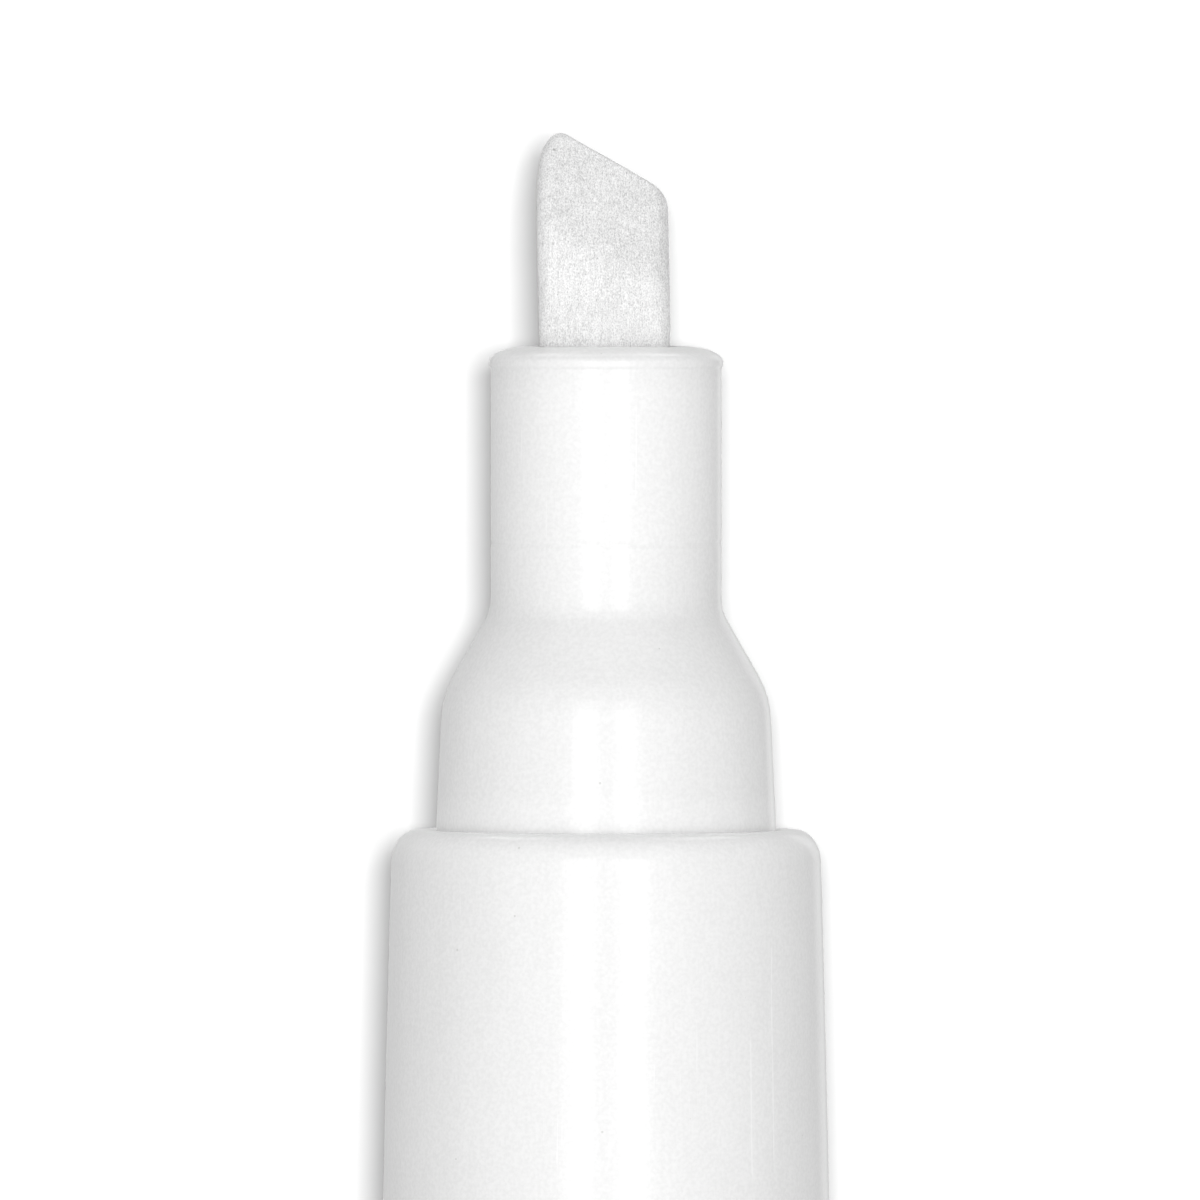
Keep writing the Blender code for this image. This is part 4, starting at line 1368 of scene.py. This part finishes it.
@dataclass
class PumpValve:
    """Valve behind the nib: rubber seat, plunger, return spring and the cage that holds them."""

    pin_radius: float = 1.4 * MM
    pin_round: float = 0.35 * MM
    tail_radius: float = 1.2 * MM
    flange_thickness: float = 1.0 * MM
    flow_gap: float = 0.35 * MM  # clearance of the pin in the seat
    seat_gap: float = 0.3 * MM
    wire: float = 0.45 * MM
    wire_points: int = 14
    coil_radius: float = 2.075 * MM
    turns: float = 7.0
    turn_rows: int = 48
    edge: float = 0.1 * MM
    columns: int = 96
    step: float = 0.4 * MM
    travel: float = 2.5 * MM
    seat: NodeBox = node_box("valve_seat")
    stem: NodeBox = node_box("valve_stem")
    spring: NodeBox = node_box("valve_spring")

    def build(self) -> None:
        """Make the valve's pieces and dress them."""
        washer = washer_grid(self.seat, self.pin_radius + self.flow_gap)
        dressed("valve_seat_washer", washer, Profile.RING, DARK_RUBBER, Body.SECTION, "valve_seat")
        dressed("valve_plunger", self.stem_grid(), Profile.SOLID, MILKY_PLASTIC, Body.NIB, "valve_stem")
        coil = dressed("valve_return_spring", self.spring_grid(), Profile.SOLID, SPRING_WIRE, Body.SECTION,
                       "valve_spring")
        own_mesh(coil)
        redressed("valve_cage", MILKY_PLASTIC)

    def stem_grid(self) -> np.ndarray:
        """Turned plunger: pin under the nib, sealing flange under the seat and a guide tail.

        Returns:
            Grid of points.
        """
        flange_top = self.seat.bottom - self.seat_gap
        flange_bottom = flange_top - self.flange_thickness
        corners = [
            Corner(0.0, self.stem.top),
            Corner(self.pin_radius, self.stem.top, self.pin_round),
            Corner(self.pin_radius, flange_top, self.edge),
            Corner(self.stem.radius, flange_top, self.edge),
            Corner(self.stem.radius, flange_bottom, self.edge),
            Corner(self.tail_radius, flange_bottom, self.edge),
            Corner(self.tail_radius, self.stem.bottom, self.edge),
            Corner(0.0, self.stem.bottom),
        ]
        return lathed(corners, self.step, self.columns)

    def spring_grid(self) -> np.ndarray:
        """Round wire along a helix, its cut ends closed.

        Returns:
            Grid of points.
        """
        share = np.linspace(0.0, 1.0, int(self.turns * self.turn_rows) + 1)
        low, high = self.spring.bottom + self.wire / 2.0, self.spring.top - self.wire / 2.0
        path = polar(math.tau * self.turns * share, self.coil_radius, low + (high - low) * share)
        tube = carried(path, np.full(len(path), self.wire / 2.0), self.wire_points)
        first, last = (np.repeat(end[None, None], self.wire_points, axis=1) for end in (path[0], path[-1]))
        return np.concatenate((first, tube, last))


@dataclass
class PaintBarrel:
    """Paint tube with its mouth, swelling wall and threaded neck, tail plug, O-ring and mixing balls."""

    mouth_wall: float = 1.55 * MM
    mouth_roll: float = 1.00 * MM  # half axes of the mouth's roll
    mouth_fall: float = 1.30 * MM
    swell_length: float = 52.0 * MM
    swell_rise: float = 0.75 * MM
    swell_rows: int = 40
    wall: float = 1.45 * MM
    tail_round: float = 1.0 * MM
    fit_gap: float = 0.15 * MM  # clearance of the plug in the bore
    pocket_depth: float = 2.2 * MM  # pocket of the section's foot and seal
    neck_radius: float = 6.30 * MM
    neck_end: float = 9.5 * MM
    neck_cone: float = 3.0 * MM
    groove_depth: float = 0.55 * MM
    groove_start: float = 6.6 * MM
    groove_pitch: float = 2.4 * MM
    groove_turns: float = 2.0
    edge: float = 0.12 * MM
    columns: int = 200
    step: float = 0.7 * MM
    plug_depth: float = 8.0 * MM
    plug_floor: float = 1.3 * MM
    plug_flange: float = 1.0 * MM
    plug_chamfer: float = 0.5 * MM
    plug_columns: int = 160
    plug_step: float = 0.5 * MM
    seat_gap: float = 0.3 * MM
    post_radius: float = 6.59 * MM
    post_wall: float = 1.2 * MM
    post_round: float = 0.5 * MM
    seal_wire: float = 1.0 * MM
    seal_points: int = 32
    ball_rows: int = 49
    ball_columns: int = 96
    box: NodeBox = node_box("barrel")
    plug: NodeBox = node_box("tail_plug")
    seal: NodeBox = node_box("tail_seal")

    def build(self) -> None:
        """Make the barrel's pieces and dress them."""
        dressed("paint_barrel", self.barrel_grid(), Profile.RING, BARREL_PLASTIC, Body.BARREL, "barrel")
        dressed("tail_plug_moulding", self.plug_grid(), Profile.SOLID, WHITE_PLASTIC, Body.BARREL,
                "tail_plug")
        dressed("tail_o_ring", self.o_ring_grid(), Profile.RING, DARK_RUBBER, Body.BARREL, "tail_seal")
        for number, body in ((1, Body.BALL_1), (2, Body.BALL_2)):
            ball = self.ball_grid(NodeBox.of(f"mixing_ball_{number}"))
            dressed(f"steel_ball_{number}", ball, Profile.SOLID, BALL_STEEL, body, f"mixing_ball_{number}")

    def groove(self) -> ScrewThread:
        """The thread's groove in the neck."""
        start = self.box.top - self.groove_start
        return ScrewThread(self.neck_radius, self.groove_depth, start, self.groove_pitch, self.groove_turns)

    def swell(self) -> list[Corner]:
        """Rolled mouth and outer wall: radius = top + rise * s * (2 - s), s the share of the swell's length.

        Returns:
            Corners from the mouth's top down to the widest line.
        """
        share = np.linspace(self.mouth_fall / self.swell_length, 1.0, self.swell_rows)
        top = self.box.radius - self.swell_rise
        wall = corners_along(top + self.swell_rise * share * (2.0 - share),
                             self.box.top - self.swell_length * share)
        return quarter_ellipse(wall[0].radius, self.box.top, self.mouth_roll, self.mouth_fall)[:-1] + wall

    def barrel_grid(self) -> np.ndarray:
        """Turned paint tube with the thread's groove in its neck.

        Returns:
            Grid of points.
        """
        mouth = self.box.radius - self.swell_rise - self.mouth_wall
        bore = self.box.radius - self.wall
        top, rear = self.box.top, self.box.bottom
        corners = [
            Corner(mouth, top, self.edge),
            *self.swell(),
            Corner(self.box.radius, rear, self.tail_round),
            Corner(bore, rear, self.edge),
            Corner(bore, top - self.neck_end - self.neck_cone),
            Corner(self.neck_radius, top - self.neck_end),
            Corner(self.neck_radius, top - self.pocket_depth, self.edge),
            Corner(mouth, top - self.pocket_depth, self.edge),
        ]
        return lathed(corners, self.step, self.columns, self.groove().relief)

    def plug_grid(self) -> np.ndarray:
        """Turned plug: sleeve with the O-ring's groove, flange and the hollow post for the cap.

        Returns:
            Grid of points.
        """
        rear = self.box.bottom
        sleeve = self.box.radius - self.wall - self.fit_gap
        groove = sleeve - self.seal_wire - self.fit_gap
        half = self.seal_wire / 2.0 + self.fit_gap
        middle, top = rear + self.plug_depth / 2.0, self.plug.top
        flange_top = rear - self.seat_gap
        flange_bottom = flange_top - self.plug_flange
        bore = self.post_radius - self.post_wall
        corners = [
            Corner(0.0, top),
            Corner(sleeve - self.plug_chamfer, top),
            Corner(sleeve, top - self.plug_chamfer),
            Corner(sleeve, middle + half, self.edge),
            Corner(groove, middle + half, self.edge),
            Corner(groove, middle - half, self.edge),
            Corner(sleeve, middle - half, self.edge),
            Corner(sleeve, flange_top, self.edge),
            Corner(self.plug.radius, flange_top, self.edge),
            Corner(self.plug.radius, flange_bottom, self.edge),
            Corner(self.post_radius, flange_bottom, self.edge),
            Corner(self.post_radius, self.plug.bottom, self.post_round),
            Corner(bore, self.plug.bottom, self.edge),
            Corner(bore, top - self.plug_floor, self.edge),
            Corner(0.0, top - self.plug_floor),
        ]
        return lathed(corners, self.plug_step, self.plug_columns)

    def o_ring_grid(self) -> np.ndarray:
        """O-ring: a round section turned about the axis.

        Returns:
            Grid of points.
        """
        wire = self.seal_wire / 2.0
        centre = complex(self.seal.radius - wire, (self.seal.top + self.seal.bottom) / 2.0)
        return turned(centre + wire * np.exp(-1j * full_turn(self.seal_points)), self.plug_columns)

    def ball_grid(self, box: NodeBox) -> np.ndarray:
        """Ball: a half circle turned about its own upright axis.

        Args:
            box: Resting box of the ball's node.

        Returns:
            Grid of points.
        """
        turn = np.linspace(math.pi / 2.0, -math.pi / 2.0, self.ball_rows)
        radius = (box.top - box.bottom) / 2.0
        profile = radius * np.maximum(np.cos(turn), 0.0) + 1j * radius * np.sin(turn)
        profile[[0, -1]] = 1j * radius * np.array([1.0, -1.0])
        return turned(profile, self.ball_columns) + np.array((box.low + box.high) / 2.0)


@dataclass
class PostedCap:
    """Cap pushed on the tail post: fluted shell and inner liner that seals on the nib holder."""

    wall: float = 1.6 * MM
    draft: float = 0.2 * MM
    end_wall: float = 1.6 * MM
    end_round: float = 1.6 * MM
    lip_round: float = 0.4 * MM
    flute_count: int = 24
    flute_columns: int = 18
    flute_radius: float = 0.8 * MM
    flute_depth: float = 0.4 * MM
    flute_length: float = 15.0 * MM
    flute_rise: float = 3.5 * MM  # height of the flutes' lower ends
    flute_end: float = 0.9 * MM
    flute_tolerance: float = 0.02 * MM  # distance inside the drafted wall that still counts as outside
    liner_wall: float = 0.9 * MM
    liner_flange: float = 1.0 * MM
    liner_bore: float = 4.68 * MM
    liner_columns: int = 128
    edge: float = 0.1 * MM
    step: float = 0.5 * MM
    shell: NodeBox = node_box("cap_shell")
    liner: NodeBox = node_box("cap_liner")

    def build(self) -> None:
        """Make the cap's two pieces and dress them."""
        dressed("fluted_cap", self.shell_grid(), Profile.SOLID, CAP_PLASTIC, Body.CAP, "cap_shell")
        dressed("cap_inner_cup", self.liner_grid(), Profile.SOLID, MILKY_PLASTIC, Body.CAP, "cap_liner")

    def flutes(self, angle: np.ndarray, height: np.ndarray, radius: np.ndarray) -> np.ndarray:
        """Depth of the grip flutes: a round rod's cut, with a run-out at both ends.

        Args:
            angle: Angles round the axis.
            height: Heights of the points.
            radius: Radii of the points before the flutes.

        Returns:
            Radial offset, nought away from the outer wall.
        """
        pitch = math.tau / self.flute_count
        off_middle = (angle % pitch) - pitch / 2.0
        rod = radius + self.flute_radius - self.flute_depth
        under_root = self.flute_radius ** 2 - (rod * np.sin(off_middle)) ** 2
        floor = rod * np.cos(off_middle) - np.sqrt(np.clip(under_root, 0.0, None))
        cut = np.where(under_root > 0.0, np.clip(radius - floor, 0.0, None), 0.0)
        from_end = np.minimum(height - self.flute_rise, self.flute_rise + self.flute_length - height)
        outside = radius > self.shell.radius - self.draft - self.flute_tolerance
        return np.where(outside, -cut * smooth_step(from_end / self.flute_end), 0.0)

    def shell_grid(self) -> np.ndarray:
        """Turned shell, open at the top, with its flutes.

        Returns:
            Grid of points.
        """
        bore = self.shell.radius - self.wall
        corners = [
            Corner(0.0, self.end_wall),
            Corner(bore, self.end_wall, self.edge),
            Corner(bore, self.shell.top, self.edge),
            Corner(self.shell.radius, self.shell.top, self.lip_round),
            Corner(self.shell.radius - self.draft, 0.0, self.end_round),
            Corner(0.0, 0.0),
        ]
        return lathed(corners, self.step, self.flute_count * self.flute_columns, self.flutes)

    def liner_grid(self) -> np.ndarray:
        """Turned liner: a cup with a flange at its mouth.

        Returns:
            Grid of points.
        """
        outer, floor = self.liner_bore + self.liner_wall, self.liner.bottom + self.liner_wall
        flange = self.liner.top - self.liner_flange
        corners = [
            Corner(0.0, floor),
            Corner(self.liner_bore, floor, self.edge),
            Corner(self.liner_bore, self.liner.top, self.edge),
            Corner(self.liner.radius, self.liner.top, self.edge),
            Corner(self.liner.radius, flange, self.edge),
            Corner(outer, flange, self.edge),
            Corner(outer, self.liner.bottom, self.edge),
            Corner(0.0, self.liner.bottom),
        ]
        return lathed(corners, self.step, self.liner_columns)


@dataclass(frozen=True)
class Panel:
    """Flat soft light that faces the middle of the picture.

    Attributes:
        turn: Direction beside the camera, to the right.
        rise: Direction above the level.
        width: Width of the panel.
        height: Height of the panel.
        radiance: Brightness of its face.
        distance: Distance from the marker.
    """

    turn: float
    rise: float
    width: float
    height: float
    radiance: float
    distance: float = 0.7

    def hang(self, name: str, aim: Vector) -> bpy.types.Object:
        """Hang the panel so that it faces the aim, out of the camera's sight.

        Args:
            name: Name of the light.
            aim: Point that it faces.

        Returns:
            The light.
        """
        data = bpy.data.lights.new(name, "AREA")
        data.shape = "RECTANGLE"
        data.size, data.size_y = self.width, self.height
        data.energy = self.radiance * math.pi * self.width * self.height
        light = bpy.data.objects.new(name, data)
        level = math.cos(self.rise)
        away = Vector((math.sin(self.turn) * level, -math.cos(self.turn) * level, math.sin(self.rise)))
        light.location = aim + away * self.distance
        light.rotation_euler = away.to_track_quat("Z", "Y").to_euler()
        light.visible_camera = False
        bpy.context.scene.collection.objects.link(light)
        return light


@dataclass(frozen=True)
class Paper:
    """White paper of the stage, clear from behind, so that no view of the marker is blocked.

    Attributes:
        name: Name of the material.
        white: Share of the light that it throws back.
        glow: Light that it adds.
        foot: Height below which it glows white, if it does.
        fade: Depth over which it begins to glow.
        shade: Tone of the darker fibres.
        fibre_scale: Fibres in a metre.
        roughness: Roughness of the paper.
    """

    name: str
    white: float
    glow: float
    foot: float = 0.0
    fade: float = 26.0 * MM
    shade: float = 0.985
    fibre_scale: float = 900.0
    roughness: float = 0.9

    def material(self) -> bpy.types.Material:
        """Make the paper's material.

        Returns:
            The material.
        """
        material = bpy.data.materials.new(self.name)
        material.use_nodes = True
        graph = Graph(material.node_tree)
        graph.tree.nodes.clear()
        fibre = graph.noise(graph.object_place(), self.fibre_scale, 3.0)
        light, dark = ((tone, tone, tone, 1.0) for tone in (self.white, self.white * self.shade))
        shine = graph.stretched(graph.object_axes()[2], self.foot, self.foot - self.fade, self.glow,
                                1.0 if self.foot else self.glow)
        shader = graph.node("ShaderNodeBsdfPrincipled", {
            "Base Color": graph.mixed(fibre, light, dark), "Roughness": self.roughness,
            "Emission Color": WHITE, "Emission Strength": shine, "Specular IOR Level": 0.0})
        clear = graph.node("ShaderNodeBsdfTransparent")
        behind = graph.node("ShaderNodeNewGeometry").outputs["Backfacing"]
        both = graph.node("ShaderNodeMixShader", {0: behind, 1: shader.outputs[0], 2: clear.outputs[0]})
        graph.node("ShaderNodeOutputMaterial", {"Surface": both.outputs[0]})
        return material

    def sheet(self, name: str, corners: Sequence[Triple]) -> bpy.types.Object:
        """Make a flat sheet of the paper, which the marker neither mirrors nor takes light from.

        Args:
            name: Name of the sheet.
            corners: Its four corners.

        Returns:
            The sheet.
        """
        mesh = bpy.data.meshes.new(name)
        mesh.from_pydata(corners, [], [(0, 1, 2, 3)])
        mesh.materials.append(self.material())
        obj = bpy.data.objects.new(name, mesh)
        obj.visible_diffuse = obj.visible_glossy = False
        bpy.context.scene.collection.objects.link(obj)
        return obj


@dataclass
class Studio:
    """White studio: long lens in front, two tall panels beside it, pale floor and a card close behind.

    Attributes:
        distance: Distance of the lens from the marker.
        elevation: Height of the view above the level.
        field_width: Width that the picture shows at the marker.
        sensor: Width of the camera's sensor.
        clip: Nearest and farthest distance that the camera sees.
        aim: Point in the middle of the picture.
        side_walls: Brightness of the studio's walls at the sides.
        end_walls: Brightness that the walls in front and behind have more than the sides.
        end_spread: Power with which that brightness falls off towards the sides.
        ceiling_shade: Brightness that the ceiling lacks and the ground has more.
        wall_gloss: Share of the walls' brightness that shows in reflections.
        front_panels: Panels that draw the two bright lines down the marker.
        top_panel: Panel above and behind, which lights the rolled rims.
        rim_panel: Panel behind on the right, which draws a light line down that edge.
        card_lamp: Lamp that lights the card alone and casts the marker's shadow on it.
        floor_paper: Paper of the floor.
        floor_size: Width of the floor.
        card_paper: Paper of the card, whose shadow fades out towards its glowing foot.
        card_gap: Distance of the card behind the marker's axis.
        card_size: Width and height of the card.
    """

    distance: float = 1.0
    elevation: float = math.radians(0.85)
    field_width: float = 46.51 * MM
    sensor: float = 36.0
    clip: Span = (0.01, 100.0)
    aim: Vector = field(default_factory=lambda: Vector((-0.24 * MM, 0.0, 141.8 * MM)))
    side_walls: float = 0.42
    end_walls: float = 0.93
    end_spread: float = 1.6
    ceiling_shade: float = 0.12
    wall_gloss: float = 0.48
    front_panels: tuple[Panel, ...] = tuple(
        Panel(side * math.radians(14.4), math.radians(8.0), 0.196, 0.41, 2.35) for side in (-1.0, 1.0))
    top_panel: Panel = Panel(math.pi, math.radians(64.0), 0.60, 0.34, 1.6)
    rim_panel: Panel = Panel(math.radians(156.0), math.radians(5.0), 0.20, 0.50, 0.36)
    card_lamp: Panel = Panel(math.radians(1.9), math.radians(3.0), 0.130, 0.112, 590.0, 0.8)
    floor_paper: Paper = Paper("pale floor", 0.7, 0.25)
    floor_size: float = 6.0
    card_paper: Paper = Paper("white card", 0.2, 0.06, 114.0 * MM)
    card_gap: float = 9.4 * MM
    card_size: Span = (0.30, 0.20)

    def build(self) -> None:
        """Set up the camera, the lights and the stage."""
        scene = bpy.context.scene
        scene.view_settings.view_transform = "Standard"
        self.camera(scene)
        self.world(scene)
        panels = (*self.front_panels, self.top_panel, self.rim_panel)
        self.stage([panel.hang("studio_panel", self.aim) for panel in panels])

    def camera(self, scene: bpy.types.Scene) -> None:
        """Place a long lens at the picture's viewing angle.

        Args:
            scene: Scene that looks through it.
        """
        data = bpy.data.cameras.new("camera")
        data.sensor_width = self.sensor
        data.lens = self.sensor * self.distance / self.field_width
        data.clip_start, data.clip_end = self.clip
        camera = bpy.data.objects.new("camera", data)
        back = Vector((0.0, -math.cos(self.elevation), math.sin(self.elevation)))
        camera.location = self.aim + back * self.distance
        camera.rotation_euler = Euler((math.pi / 2.0 - self.elevation, 0.0, 0.0))
        scene.collection.objects.link(camera)
        scene.camera = camera

    def world(self, scene: bpy.types.Scene) -> None:
        """White to the camera; as a light, side walls + end walls * |y|^spread - ceiling shade * z.

        Args:
            scene: Scene that the studio's walls surround.
        """
        world = bpy.data.worlds.new("studio walls")
        world.use_nodes = True
        graph = Graph(world.node_tree)
        graph.tree.nodes.clear()
        towards = graph.node("ShaderNodeTexCoord").outputs["Generated"]
        _, along, up = graph.node("ShaderNodeSeparateXYZ", {0: towards}).outputs
        ends = graph.maths("POWER", graph.maths("ABSOLUTE", along), self.end_spread)
        walls = graph.maths("ADD", graph.maths("MULTIPLY", ends, self.end_walls), self.side_walls)
        walls = graph.maths("SUBTRACT", walls, graph.maths("MULTIPLY", up, self.ceiling_shade))
        path = graph.node("ShaderNodeLightPath").outputs
        share = graph.stretched(path["Is Glossy Ray"], 0.0, 1.0, 1.0, self.wall_gloss)
        lit, seen = (graph.node("ShaderNodeBackground", {"Color": WHITE, "Strength": strength}).outputs[0]
                     for strength in (graph.maths("MULTIPLY", walls, share), 1.0))
        both = graph.node("ShaderNodeMixShader", {0: path["Is Camera Ray"], 1: lit, 2: seen})
        graph.node("ShaderNodeOutputWorld", {"Surface": both.outputs[0]})
        scene.world = world

    def stage(self, lights: Sequence[bpy.types.Object]) -> None:
        """Lay the floor, and stand a white card behind the marker that takes its soft shadow.

        Args:
            lights: Lights that leave the floor out, so that it keeps one even shade.
        """
        half = self.floor_size / 2.0
        floor = self.floor_paper.sheet(
            "floor", [(-half, -half, 0.0), (half, -half, 0.0), (half, half, 0.0), (-half, half, 0.0)])
        wide, tall, back = self.card_size[0] / 2.0, self.card_size[1], self.card_gap
        card = self.card_paper.sheet(
            "card", [(-wide, back, 0.0), (wide, back, 0.0), (wide, back, tall), (-wide, back, tall)])
        card.visible_shadow = False
        not_floor = bpy.data.collections.new("left out by the panels")
        not_floor.objects.link(floor)
        not_floor.collection_objects[0].light_linking.link_state = "EXCLUDE"
        for light in lights:
            light.light_linking.receiver_collection = not_floor
        only_card = bpy.data.collections.new("lit by the card lamp")
        only_card.objects.link(card)
        lamp = self.card_lamp.hang("card_lamp", self.aim)
        lamp.light_linking.receiver_collection = only_card


def main() -> None:
    """Build the marker's sub-assemblies in order, then the studio."""
    logging.basicConfig(level=logging.INFO, format="%(message)s")
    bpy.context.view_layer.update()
    for assembly in (FeltNib(), FrontSection(), PumpValve(), PaintBarrel(), PostedCap()):
        assembly.build()
    Studio().build()


if __name__ == "__main__":
    main()
